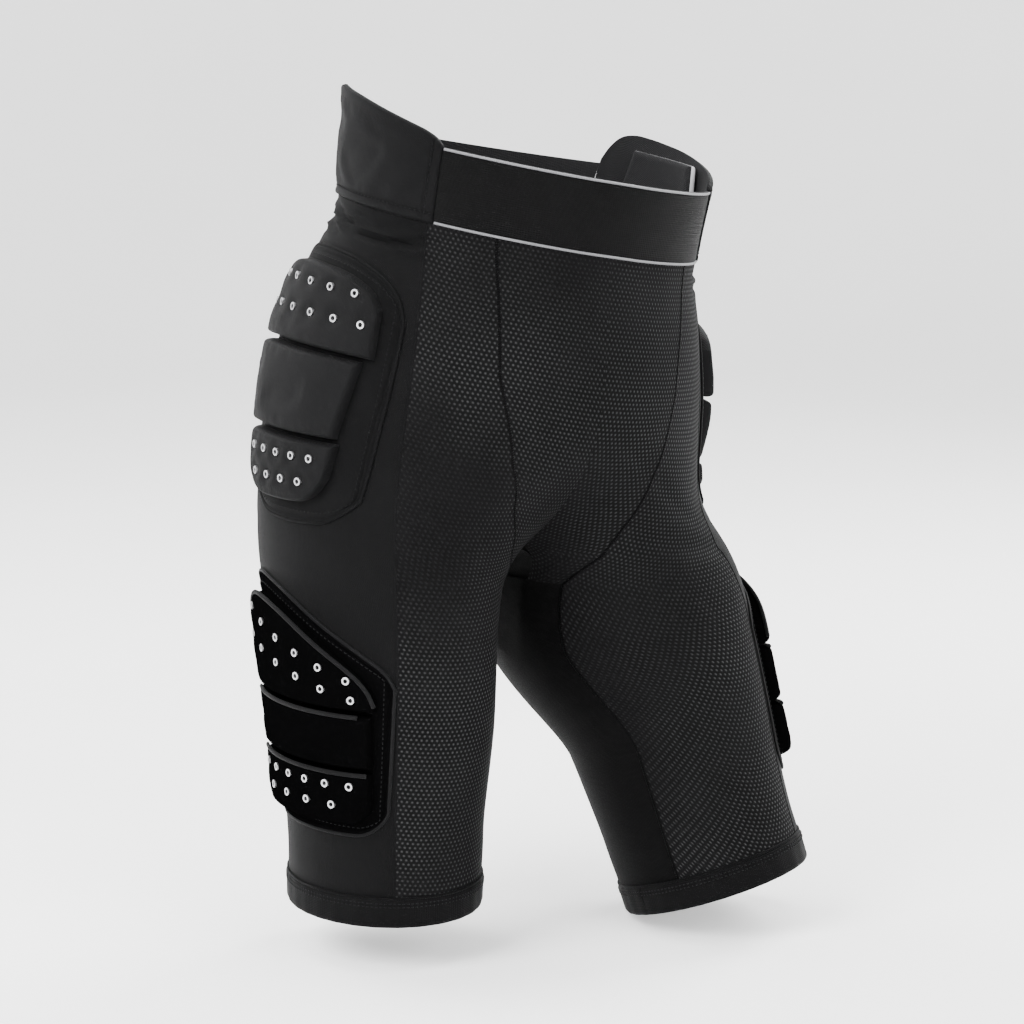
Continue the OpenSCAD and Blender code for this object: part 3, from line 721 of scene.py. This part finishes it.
class ShortsSizes(bpy.types.PropertyGroup):
    crown: FloatProperty(name="Pad crown", description="How far a pad block swells above its edge, mm", default=1.1, min=0, max=4)
    corner: FloatProperty(name="Pad edge radius", description="Radius of a pad block's edge, mm", default=3.0, min=1, max=8)
    groove: FloatProperty(name="Groove trim", description="How far two blocks' covers close the groove between them, mm",
                          default=1.1, min=0, max=2)
    seam_width: FloatProperty(name="Seam width", description="Width of a flatlock seam, mm", default=2.2, min=0.5, max=5)
    welt: FloatProperty(name="Flange welt", description="Thickness of the welt round a flange, mm", default=2.8, min=0.5, max=5)


class ShortsColours(bpy.types.PropertyGroup):
    mesh: FloatProperty(name="Mesh", description="Lightness of the open knit", default=0.0026, min=0, max=1)
    lycra: FloatProperty(name="Side panels", description="Lightness of the smooth side panels", default=0.0030, min=0, max=1)
    waistband: FloatProperty(name="Waistband", description="Lightness of the front waistband", default=0.0012, min=0, max=1)
    pad: FloatProperty(name="Hip pads", description="Lightness of the hip and tail pad covers", default=0.0042, min=0, max=1)
    thigh_pad: FloatProperty(name="Thigh pads", description="Lightness of the thigh pad covers", default=0.0011, min=0, max=1)
    piping: FloatProperty(name="Piping", description="Lightness of the waist piping", default=0.13, min=0, max=1)
    foam: FloatVectorProperty(name="Foam", description="Colour of the foam inserts", default=(0.36, 0.36, 0.37),
                              subtype="COLOR", size=3, min=0, max=1)


class Build:
    bl_options = {"REGISTER", "UNDO"}


class SHORTS_OT_waistband(Build, bpy.types.Operator):
    """Front and back waistband with a rolled top"""
    bl_idname = "shorts.waistband"
    bl_label = "Waistband"

    def execute(self, context):
        front = Patch(None, front_mid, level(29), level(0), level(-BAND), 90, 26, 0.3)
        back = Patch(None, back_mid, along((-BAND, 160), (0, 150)), level(0), level(-BAND), 80, 26, 0.3)
        for name, patch, node, panel in (("waistband_front_knit", front, "waistband_front", "front_panel"),
                                         ("waistband_back_knit", back, "waistband_back", "seat_panel")):
            roll = FABRIC + 0.5*np.sqrt(np.clip(patch.to_end/2.5, 0, 1)) + 0.25*np.sin(np.pi*patch.v)
            ob = shell(name, patch, 0, roll, finish_named("band"), lining="lining")
            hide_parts(node)
            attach(ob, "pelvis")
            patch.points(0)
        return {"FINISHED"}


class SHORTS_OT_piping(Build, bpy.types.Operator):
    """Pale piping along both edges of the waistband"""
    bl_idname = "shorts.piping"
    bl_label = "Waist piping"

    def execute(self, context):
        parts = []
        for z in (-1.0, 1.2 - BAND):
            for mid, end in ((front_mid, 28.5), (back_mid, 151 if z > -20 else 160.5)):
                u = np.linspace(-1, 1, 121)
                m = float(mid(np.array([z]))[0])
                pts, ups = [], []
                for s in (RIGHT, LEFT):
                    k = u < 0 if s == RIGHT else u >= 0
                    a, up = line(s, mix(m, end, np.abs(u[k])), z, FABRIC + 0.7)
                    pts.append(a)
                    ups.append(up)
                path = np.concatenate(pts), np.concatenate(ups)
                parts.append(tube("piping", path, 1.7, 1.3, finish_named("piping"), segments=8))
        ob = joined("waist_piping_cord", parts)
        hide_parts("waist_piping")
        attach(ob, "pelvis")
        return {"FINISHED"}


class SHORTS_OT_panels(Build, bpy.types.Operator):
    """Mesh, side, seat and inner-leg panels, one cut each from waist to hem"""
    bl_idname = "shorts.panels"
    bl_label = "Body panels"

    def execute(self, context):
        for side, s in SIDES.items():
            front, back = ["waistband_front_knit"], ["waistband_back_knit"]
            legs = [f"front_mesh_{s}", f"back_mesh_{s}"]
            arch, bottom = level(ARCH_END), LEG_BOTTOM
            for name, e0, e1, top, low, nu, nv, finish, nodes, rests_on in (
                    ("front_panel", front_mid, EDGE_FRONT, TOP, arch, 24, 90, "mesh", ["front_panel"], front),
                    ("seat_panel", EDGE_SEAT, back_mid, TOP, arch, 24, 90, "mesh", ["seat_panel"], back),
                    ("front_mesh", EDGE_FRONT, EDGE_MESH, TOP, bottom, 34, 150, "mesh",
                     [f"hip_front_mesh_{s}", f"leg_front_mesh_{s}"], front),
                    ("side_panel", EDGE_MESH, EDGE_BACK, TOP, bottom, 80, 190, "lycra",
                     [f"hip_side_panel_{s}", f"leg_side_panel_{s}"], front + back),
                    ("back_mesh", EDGE_BACK, EDGE_SEAT, TOP, bottom, 30, 150, "mesh",
                     [f"hip_back_mesh_{s}", f"leg_back_mesh_{s}"], back),
                    # the inner finish carries painted shade for between the legs
                    ("inner_leg", EDGE_SEAT, lambda z: EDGE_FRONT(z) + 360, arch, bottom, 40, 80, "inner",
                     [f"leg_inner_panel_{s}"], legs)):
                fabric_panel(f"{name}_{s}", side, e0, e1, top, low, nu, nv, finish, nodes)
        return {"FINISHED"}


class SHORTS_OT_gusset(Build, bpy.types.Operator):
    """Crotch gusset, half on each side of the centre seam"""
    bl_idname = "shorts.gusset"
    bl_label = "Gusset"

    def execute(self, context):
        for side, s in SIDES.items():
            phi = np.radians(np.linspace(0, 90, 13))[:, None]
            z = CROTCH - ARCH*(1 - np.cos(phi))
            z_safe = np.minimum(z, CROTCH - 1e-6)
            y0 = flat(front_mid(z_safe), z_safe, 0)[..., 1]
            y1 = flat(back_mid(z_safe), z_safe, 0)[..., 1]
            v = np.linspace(0, 1, 41)[None, :]

            def layer(off):
                r = ARCH - off
                x = ARCH_WIDE*r*np.sin(phi) + 0*v
                return pose(side, np.stack([x, mix(y0, y1, v), CROTCH - ARCH + r*np.cos(phi) + 0*v], -1))
            inner = layer(0)
            du, dv = spans(inner)
            cut = np.stack([v*du.sum(1).mean() + 0*phi, phi/(np.pi/2)*dv.sum(0).mean() + 0*v], -1)/MM
            # the inner finish carries painted shade for between the legs
            ob = between(f"gusset_{s}", inner, layer(FABRIC), cut, finish_named("inner"))
            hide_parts("gusset")
            across_hip(ob, side)
        return {"FINISHED"}


class SHORTS_OT_seams(Build, bpy.types.Operator):
    """Flatlock seams between the panels"""
    bl_idname = "shorts.seams"
    bl_label = "Seams"

    def execute(self, context):
        wide = context.scene.shorts_sizes.seam_width
        for side, s in SIDES.items():
            parts = []
            for edge, share, finish in ((EDGE_FRONT, 1, "seam"), (EDGE_MESH, 0.7, "flange"),
                                        (EDGE_BACK, 0.7, "flange"), (EDGE_SEAT, 1, "seam")):
                z = np.linspace(-BAND, HEM + HEM_BAND, 200)
                path = line(side, edge(z), z, FABRIC + 0.05)
                parts.append(tube("seam", path, wide*share, share, finish_named(finish)))
            ob = joined(f"panel_seams_{s}", parts)
            across_hip(ob, side)
        return {"FINISHED"}


class SHORTS_OT_hems(Build, bpy.types.Operator):
    """Folded hem bands with a stitched upper edge"""
    bl_idname = "shorts.hems"
    bl_label = "Hem bands"

    def execute(self, context):
        for side, s in SIDES.items():
            patch = Patch(side, level(-90), level(269.9), level(HEM + HEM_BAND + 2), level(HEM), 180, 16, 0.2)
            lip = 0.5 + 0.9*np.sqrt(np.clip(patch.to_end/2.2, 0, 1)) + 0.15*np.sin(patch.th*0.5)
            ob = shell(f"hem_band_{s}", patch, -0.2, FABRIC + lip, finish_named("hem"))
            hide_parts(f"leg_hem_{s}")
            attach(ob, f"leg_{s}")
            patch.points(0)
            th = np.linspace(-90, 270, 201)[:-1]
            fold = tube(f"hem_fold_{s}", line(side, th, HEM + HEM_BAND + 2.5, FABRIC + 0.5), 2.0, 1.6,
                        finish_named("hem"), closed=True)
            th = np.linspace(-90, 270, 301)[:-1]
            rows = [stitches(f"hem_stitches_{s}_{k}", line(side, th, HEM + HEM_BAND - 1.0 - 2.4*k, FABRIC + 1.45),
                             finish_named("thread"), 3.0) for k in (0, 1)]
            for extra in (fold, *rows):
                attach(extra, f"leg_{s}")
        return {"FINISHED"}


def rounded(e0, e1, z0, z1, radius, per_degree):
    """Two edges with their corners rounded off between two drops."""
    def inset(z):
        d = np.clip(np.minimum(z0 - z, z - z1)/radius, 0, 1)
        return radius/per_degree*(1 - np.sqrt(np.clip(1 - (1 - d)**2, 0, 1)))
    return (lambda z: e0(z) + inset(z)), (lambda z: e1(z) - inset(z))


def pad_block(name, side, e0, e1, top, bottom, body, node, finish, vents=(), nu=120, nv=60, lip=None):
    """A raised block with rounded sides, a cover blown up over its foam and a pit at each vent."""
    sizes = bpy.context.scene.shorts_sizes
    base = FABRIC + FLANGE
    patch = Patch(side, e0, e1, top, bottom, nu, nv, 0.7)
    d = patch.to_border()
    edge = np.sqrt(np.clip(1 - (1 - np.clip(d/sizes.corner, 0, 1))**2, 0, 1))
    here = patch.points(base)/MM
    gaps = [np.linalg.norm(here - place(side, np.array([th]), np.array([z]), np.array([base]))[0]/MM, axis=2) for th, z in vents]
    near = np.min(gaps, axis=0) if gaps else np.full(d.shape, 99.0)
    pinned = np.clip(1 - (np.minimum(d, near) - 1.5)/2.5, 0, 1)
    pinned[pinned < 0.2] = 0
    puff = swell(patch, base + BLOCK, pinned, 3.0)
    height = (BLOCK - sizes.crown*0.5)*edge + np.minimum(puff, sizes.crown*1.6)
    height += sizes.crown*0.5*np.clip(np.sin(np.pi*patch.u)*np.sin(np.pi*patch.v), 0, 1)**0.5*(1 - bump(near, 0, 4))
    height -= 0.35*bump(near, 0, 4.2) + 5.0*(1 - ease((near - 1.5)/0.9))*(near < 9)
    ob = shell(name, patch, base - 0.6, base + np.maximum(height, 0), finish_named(finish), 60)
    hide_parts(node)
    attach(ob, body)
    if lip:
        t = np.linspace(lip[0], lip[1], 80)
        sides, th, z = patch.at_share(t, 0.6/patch.size[1] + 0*t)
        cord = tube(name + "_lip", line(side, th, z, base + BLOCK - 1.2), 3.2, 2.6, finish_named("lip"), segments=8)
        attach(cord, body)


def flange(name, side, e0, e1, top, bottom, body, node, finish, nu=110, nv=90, welt_finish=None):
    """The sewn flange under a pad, with a welt round it and a row of stitches."""
    sizes = bpy.context.scene.shorts_sizes
    patch = Patch(side, e0, e1, top, bottom, nu, nv, 0.4)
    d = patch.to_border()
    lift = FLANGE*np.sqrt(np.clip(d/2.0, 0, 1)) - 0.9*bump(d, 4.6, 1.0) - 0.3*np.clip((d - 8)/10, 0, 1)
    ob = shell(name, patch, FABRIC - 0.4, FABRIC + 0.1 + np.maximum(lift, 0), finish_named(finish))
    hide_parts(node)
    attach(ob, body)
    welt = tube(name + "_welt", patch.ring(0.4, FABRIC + 0.7), sizes.welt, sizes.welt*0.8,
                finish_named(welt_finish or finish), closed=True, segments=8)
    thread = stitches(name + "_stitches", patch.ring(6.6, FABRIC + FLANGE - 0.1, 400), finish_named("thread"))
    for extra in (welt, thread):
        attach(extra, body)
    patch.points(0)


def row(a0, a1, z0, z1, n):
    return [(mix(a0, a1, i/(n - 1)), mix(z0, z1, i/(n - 1))) for i in range(n)]


HIP_VENTS_UPPER = row(62, 122, -104, -104, 5) + row(56, 128, -123, -123, 6)
HIP_VENTS_LOWER = row(70, 112, -211, -211, 5) + row(75, 108, -225, -225, 4)
THIGH_VENTS_UPPER = row(52, 122, -345, -312, 6) + row(50, 126, -358, -332, 6)
THIGH_VENTS_LOWER = row(52, 120, -418, -418, 6) + row(62, 112, -432, -432, 4)
TORSO_MM = 1.6  # of surface to one degree


class SHORTS_OT_hip_pads(Build, bpy.types.Operator):
    """Hip pads: a flange and three blocks a side"""
    bl_idname = "shorts.hip_pads"
    bl_label = "Hip pads"

    def execute(self, context):
        front = curve((-250, 54), (-232, 46), (-180, 41), (-100, 37), (-82, 37))
        back = curve((-250, 118), (-225, 130), (-150, 147), (-105, 151), (-82, 151))
        arch = curve((0, -118), (0.04, -103), (0.12, -92), (0.25, -85), (0.4, -82), (0.62, -82), (0.78, -85),
                     (0.9, -93), (0.97, -104), (1, -118))
        hem = curve((0, -234), (0.05, -241), (0.15, -248), (0.3, -250), (0.7, -250), (0.85, -248), (0.95, -241),
                    (1, -234))
        top = curve((0, -112), (0.05, -103), (0.14, -97), (0.28, -93), (0.42, -92), (0.62, -92), (0.78, -94),
                    (0.9, -99), (0.96, -105), (1, -113))
        low = curve((0, -222), (0.07, -231), (0.18, -236.5), (0.32, -238), (0.68, -238), (0.82, -236.5), (0.93, -231),
                    (1, -222))
        g = GROOVE/2 - context.scene.shorts_sizes.groove
        for side, s in SIDES.items():
            flange(f"hip_flange_{s}", side, front, back, arch, hem, "pelvis", f"hip_pad_base_{s}", "flange")
            for part, a, b, t, l, vents in (
                    ("upper", level(49), level(140), top, level(-146 + g), HIP_VENTS_UPPER),
                    ("middle", along((-200, 61), (-146, 54)), along((-200, 123), (-146, 134)),
                     level(-146 - g), level(-200 + g), ()),
                    ("lower", along((-238, 64), (-200, 59)), along((-238, 116), (-200, 122)),
                     level(-200 - g), low, HIP_VENTS_LOWER)):
                pad_block(f"hip_block_{part}_{s}", side, a, b, t, l, "pelvis", f"hip_pad_{part}_{s}", "pad",
                          vents)
        return {"FINISHED"}


class SHORTS_OT_thigh_pads(Build, bpy.types.Operator):
    """Thigh pads: a flange and three blocks a side, slanted at the top"""
    bl_idname = "shorts.thigh_pads"
    bl_label = "Thigh pads"

    def execute(self, context):
        top = curve((0, -352), (0.04, -341), (0.12, -331), (0.25, -318), (0.5, -297), (0.68, -289), (0.8, -290),
                    (0.9, -299), (0.96, -312), (1, -336))
        hem = curve((0, -438), (0.04, -447), (0.1, -453), (0.18, -455), (0.82, -455), (0.9, -453), (0.96, -447),
                    (1, -438))
        front = along((-455, 36), (-444, 34), (-330, 31))
        back = along((-455, 134), (-440, 138), (-350, 149), (-290, 149))
        block_top = curve((0, -362), (0.03, -352), (0.1, -341), (0.25, -327), (0.5, -308), (0.7, -300), (0.82, -301),
                          (0.92, -311), (0.97, -321), (1, -336))
        low = curve((0, -436), (0.05, -442), (0.12, -446), (0.88, -446), (0.95, -442), (1, -436))
        g = GROOVE/2 - context.scene.shorts_sizes.groove
        for side, s in SIDES.items():
            body = f"leg_{s}"
            flange(f"thigh_flange_{s}", side, front, back, top, hem, body, f"thigh_pad_base_{s}", "thigh_flange",
                   welt_finish="lip")
            for part, a, b, t, l, vents, lip in (
                    ("upper", level(40), along((-370, 138), (-300, 134)), block_top, level(-368 + g),
                     THIGH_VENTS_UPPER, (0.0, 1.0)),
                    ("middle", level(42), along((-410, 132), (-360, 136)), level(-368 - g), level(-408 + g),
                     (), (0.06, 0.94)),
                    ("lower", level(42), along((-446, 126), (-408, 130)), level(-408 - g), low,
                     THIGH_VENTS_LOWER, (0.02, 0.98))):
                pad_block(f"thigh_block_{part}_{s}", side, a, b, t, l, body, f"thigh_pad_{part}_{s}", "thigh",
                          vents, lip=lip)
        return {"FINISHED"}


class SHORTS_OT_tail_pad(Build, bpy.types.Operator):
    """Tail pad: a flange and two plain blocks"""
    bl_idname = "shorts.tail_pad"
    bl_label = "Tail pad"

    def execute(self, context):
        edge = along((-150, 204), (-140, 200), (-62, 186))
        g = GROOVE/2 - context.scene.shorts_sizes.groove
        flange("tail_flange", None, back_mid, edge, level(-64), level(-148), "pelvis", "tail_pad_base", "flange")
        pad_block("tail_block_upper", None, back_mid, level(199), level(-72), level(-106.5 + g),
                  "pelvis", "tail_pad_upper", "pad")
        pad_block("tail_block_lower", None, back_mid, along((-140, 206), (-108, 203)), level(-106.5 - g),
                  along((0, -138), (0.75, -138), (1, -131)), "pelvis", "tail_pad_lower", "pad")
        return {"FINISHED"}


class SHORTS_OT_wings(Build, bpy.types.Operator):
    """Padded wings above the hip bones"""
    bl_idname = "shorts.wings"
    bl_label = "Wings"

    def execute(self, context):
        top = curve((0, 1), (0.02, 4), (0.05, 6.5), (0.1, 9), (0.3, 14.5), (0.5, 19), (0.66, WING_PEAK*0.96),
                    (0.75, WING_PEAK), (0.88, WING_PEAK), (0.94, WING_PEAK*0.85), (0.98, WING_PEAK*0.5), (1, 3))
        back = along((-60, 160), (0, 150), (40, 142))
        for side, s in SIDES.items():
            patch = Patch(side, level(29), back, top, level(-BAND), 110, 44, 0.5)
            d = patch.to_border()
            edge = np.sqrt(np.clip(1 - (1 - np.clip(d/2.5, 0, 1))**2, 0, 1))
            valley = bump(patch.to_side, 7.5, 1.1) + bump(patch.to_end, 6.5, 1.1)*(patch.v > 0.5)
            pinned = np.clip(1 - (np.minimum(patch.to_side, patch.to_end) - 7)/2, 0, 1)
            puff = np.clip(swell(patch, WING, pinned, 2.0, 0.015), -0.5, 1.6)
            thick = 1.2 + (WING - 1.6)*edge + puff - 0.9*np.clip(valley, 0, 1)
            ob = shell(f"wing_{s}", patch, 0, thick, finish_named("wing"), lining="lining")
            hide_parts(f"wing_cover_{s}")
            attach(ob, "pelvis")
            th = np.linspace(30, 159, 300)
            hem_row, edge_row = line(side, th, 6.5 - BAND, WING - 0.7), line(side, 34.2, np.linspace(2, 4 - BAND, 60), WING - 0.7)
            for name, path in ((f"wing_hem_stitches_{s}", hem_row), (f"wing_edge_stitches_{s}", edge_row)):
                extra = stitches(name, path, finish_named("thread"), closed=False)
                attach(extra, "pelvis")
        return {"FINISHED"}


def insert_shape(name, side, e0, e1, top, bottom, body, node, dimples, nu=80, nv=70):
    """A foam insert with rounded edges and shallow dimples on its outer face."""
    patch = Patch(side, e0, e1, top, bottom, nu, nv, 0.6)
    d = patch.to_border()
    soft = np.sqrt(np.clip(1 - (1 - np.clip(d/3.5, 0, 1))**2, 0, 1))
    outer = -POCKET - 0.45*INSERT*(1 - soft)
    inner = -POCKET - INSERT + 0.45*INSERT*(1 - soft)
    for u, v in dimples:
        gap = np.hypot((patch.u - u)*patch.size[0], (patch.v - v)*patch.size[1])
        outer = outer - 2.0*(1 - ease((gap - 1.6)/1.6))
    ob = shell(name, patch, inner, outer, finish_named("foam"), 70, lining="lining")
    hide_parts(node)
    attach(ob, body)


def rows_of(*lines):
    return [(u, v) for v, n, lo, hi in lines for u in np.linspace(lo, hi, n)]


class SHORTS_OT_inserts(Build, bpy.types.Operator):
    """The seven removable foam inserts"""
    bl_idname = "shorts.inserts"
    bl_label = "Foam inserts"

    def execute(self, context):
        long_rows = rows_of((0.09, 6, 0.12, 0.88), (0.19, 6, 0.16, 0.84), (0.8, 5, 0.16, 0.84), (0.9, 5, 0.2, 0.8))
        crest_rows = rows_of((0.25, 3, 0.3, 0.7), (0.7, 3, 0.25, 0.75))
        tail_rows = rows_of((0.12, 3, 0.2, 0.8), (0.28, 3, 0.22, 0.78), (0.44, 3, 0.25, 0.75),
                            (0.62, 3, 0.28, 0.72), (0.8, 2, 0.4, 0.6))
        for side, s in SIDES.items():
            insert_shape(f"crest_foam_{s}", side, along((-60, 50), (-30, 48), (40, 74)),
                         along((-60, 122), (-30, 134), (40, 118)), level(12), level(-40),
                         f"crest_insert_{s}_foam", f"crest_insert_{s}", crest_rows)
            e0, e1 = rounded(along((-236, 68), (-200, 60), (-96, 52)), along((-236, 112), (-200, 122), (-96, 136)),
                             -96, -236, 14, TORSO_MM)
            insert_shape(f"hip_foam_{s}", side, e0, e1, level(-96), level(-236),
                         f"hip_insert_{s}_foam", f"hip_insert_{s}", long_rows)
            insert_shape(f"thigh_foam_{s}", side, along((-442, 50), (-340, 44)), along((-442, 122), (-340, 132)),
                         along((0, -344), (0.5, -318), (1, -328)), level(-442),
                         f"thigh_insert_{s}_foam", f"thigh_insert_{s}", long_rows)
        insert_shape("tail_foam", None, back_mid, along((-190, 206), (-150, 202), (-60, 189)), level(-60), level(-190),
                     "tail_insert_foam", "tail_insert", tail_rows)
        return {"FINISHED"}


class SHORTS_OT_pockets(Build, bpy.types.Operator):
    """Bindings round the mouths of the insert pockets, inside the fabric"""
    bl_idname = "shorts.pockets"
    bl_label = "Pocket bindings"

    def execute(self, context):
        def border(name, side, e0, e1, z0, z1, body, node):
            patch = Patch(side, e0, e1, level(z0), level(z1), 60, 60)
            ri, ci = border_walk(*patch.z.shape)
            p, q = patch.points(-LAY - 0.35), patch.points(-LAY + 0.65)
            up = (q - p)[ri, ci]
            up /= np.linalg.norm(up, axis=1, keepdims=True)
            ob = tube(name, (p[ri, ci], up), 4.5, 0.7, finish_named("binding"), closed=True)
            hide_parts(node)
            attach(ob, body)
        for side, s in SIDES.items():
            border(f"hip_pocket_binding_{s}", side, along((-242, 65), (-200, 56), (-90, 48)),
                   along((-242, 113), (-200, 126), (-90, 140)), -92, -240, "pelvis", f"hip_pocket_rim_{s}")
            border(f"thigh_pocket_binding_{s}", side, along((-448, 46), (-350, 39)),
                   along((-448, 126), (-350, 136)), -348, -446, f"leg_{s}", f"thigh_pocket_rim_{s}")
        border("tail_pocket_binding", None, back_mid, along((-200, 205), (-150, 200), (-54, 186)),
               -56, -194, "pelvis", "tail_pocket_rim")
        return {"FINISHED"}


class SHORTS_OT_vent_rings(Build, bpy.types.Operator):
    """Metal finish on the vent rings of the frame"""
    bl_idname = "shorts.vent_rings"
    bl_label = "Vent rings"

    def execute(self, context):
        for s in SIDES.values():
            for node in (f"hip_eyelets_{s}", f"thigh_eyelets_{s}"):
                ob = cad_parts[node]
                if not ob.material_slots:
                    ob.data.materials.append(finish_named("metal"))
                for slot in ob.material_slots:
                    slot.material = finish_named("metal")
        return {"FINISHED"}


CAMERA_TURN, CAMERA_RISE, CAMERA_FAR = -38.0, 10.0, 2.1
VIEW_WIDTH, SENSOR = 0.70, 36.0
FLOOR_RADIUS, BOWL_BEND, BOWL_HEIGHT = 3.0, 1.2, 4.0


class SHORTS_OT_stage(Build, bpy.types.Operator):
    """Pale round floor that curves up into a backdrop, soft studio lights and the camera"""
    bl_idname = "shorts.stage"
    bl_label = "Stage"

    def execute(self, context):
        lo, hi = CAD_BOX
        floor_mat, nt, b = nodes_of("stage_floor")
        obj = nt.nodes.new("ShaderNodeTexCoord").outputs["Object"]
        nt.links.new(ramp(nt, noise(nt, obj, 3.0), [(0.3, (0.90, 0.90, 0.90)), (0.7, (0.93, 0.93, 0.93))]), b.inputs["Base Color"])
        b.inputs["Roughness"].default_value = 0.9
        b.inputs["Emission Color"].default_value = (1, 1, 1, 1)
        b.inputs["Emission Strength"].default_value = 0.3
        bends = np.linspace(0.1, math.pi/2, 12)
        edge = [FLOOR_RADIUS + BOWL_BEND*math.sin(t) for t in bends]
        radii = [0.5, 1.5, FLOOR_RADIUS, *edge, FLOOR_RADIUS + BOWL_BEND]
        heights = [0.0]*3 + [BOWL_BEND - BOWL_BEND*math.cos(t) for t in bends] + [BOWL_HEIGHT]
        n = 72
        verts = [(0, 0, lo.z)] + [(r*math.cos(a), r*math.sin(a), lo.z + h)
                                  for r, h in zip(radii, heights) for a in np.arange(n)*2*math.pi/n]
        faces = [[0, 1 + k, 1 + (k + 1) % n] for k in range(n)]
        for m in range(len(radii) - 1):
            a, b = 1 + m*n, 1 + (m + 1)*n
            faces += [[a + k, b + k, b + (k + 1) % n, a + (k + 1) % n] for k in range(n)]
        floor = add_mesh("stage_floor", verts, faces, floor_mat, np.zeros((len(verts), 2)))
        floor.location.z = -0.002

        def light(name, turn, rise, far, size, power):
            t, e = math.radians(turn), math.radians(rise)
            data = bpy.data.lights.new(name, "AREA")
            data.size, data.energy = size, power
            ob = bpy.data.objects.new(name, data)
            context.scene.collection.objects.link(ob)
            away = np.array([math.sin(t)*math.cos(e), -math.cos(t)*math.cos(e), math.sin(e)])
            centre = np.array([(lo.x + hi.x)/2, (lo.y + hi.y)/2, (lo.z + hi.z)/2])
            ob.location = centre + away*far
            ob.rotation_mode = "QUATERNION"
            ob.rotation_quaternion = Vector(-away).to_track_quat("-Z", "Y")
        light("key", -80, 35, 2.0, 1.0, 75)
        light("fill", 5, 25, 2.4, 1.4, 40)
        light("rim", 95, 35, 2.0, 1.0, 60)
        light("back_rim", -160, 40, 2.0, 1.2, 40)
        light("top", -30, 85, 2.0, 1.6, 40)
        world = bpy.data.worlds.new("studio")
        context.scene.world = world
        world.use_nodes = True
        world.node_tree.nodes["Background"].inputs[0].default_value = (1, 1, 1, 1)
        world.node_tree.nodes["Background"].inputs[1].default_value = 0.9
        cam = bpy.data.cameras.new("camera")
        cam.sensor_width, cam.lens = SENSOR, SENSOR*CAMERA_FAR/VIEW_WIDTH
        ob = bpy.data.objects.new("camera", cam)
        context.scene.collection.objects.link(ob)
        t, e = math.radians(CAMERA_TURN), math.radians(CAMERA_RISE)
        away = Vector((math.sin(t)*math.cos(e), -math.cos(t)*math.cos(e), math.sin(e)))
        ob.rotation_mode = "QUATERNION"
        ob.location = (Vector(lo) + Vector(hi))/2 + away*CAMERA_FAR
        ob.rotation_quaternion = (-away).to_track_quat("-Z", "Y")
        context.scene.camera = ob
        return {"FINISHED"}


OPERATORS = [SHORTS_OT_waistband, SHORTS_OT_piping, SHORTS_OT_wings, SHORTS_OT_panels, SHORTS_OT_gusset, SHORTS_OT_seams,
             SHORTS_OT_hems, SHORTS_OT_hip_pads, SHORTS_OT_thigh_pads, SHORTS_OT_tail_pad, SHORTS_OT_inserts,
             SHORTS_OT_pockets, SHORTS_OT_vent_rings, SHORTS_OT_stage]


class SHORTS_PT_panel(bpy.types.Panel):
    bl_label = "Padded shorts"
    bl_idname = "SHORTS_PT_panel"
    bl_space_type = "VIEW_3D"
    bl_region_type = "UI"
    bl_category = "Shorts"

    def draw(self, context):
        for group in (context.scene.shorts_sizes, context.scene.shorts_colours):
            for name in group.__annotations__:
                self.layout.prop(group, name)
        for op in OPERATORS:
            self.layout.operator(op.bl_idname)


CLASSES = [ShortsSizes, ShortsColours, *OPERATORS, SHORTS_PT_panel]


def register():
    for c in CLASSES:
        bpy.utils.register_class(c)
    bpy.types.Scene.shorts_sizes = PointerProperty(type=ShortsSizes)
    bpy.types.Scene.shorts_colours = PointerProperty(type=ShortsColours)


def unregister():
    del bpy.types.Scene.shorts_sizes, bpy.types.Scene.shorts_colours
    for c in reversed(CLASSES):
        bpy.utils.unregister_class(c)


def main():
    register()
    for op in OPERATORS:
        group, name = op.bl_idname.split(".")
        getattr(getattr(bpy.ops, group), name)()


if __name__ == "__main__":
    main()
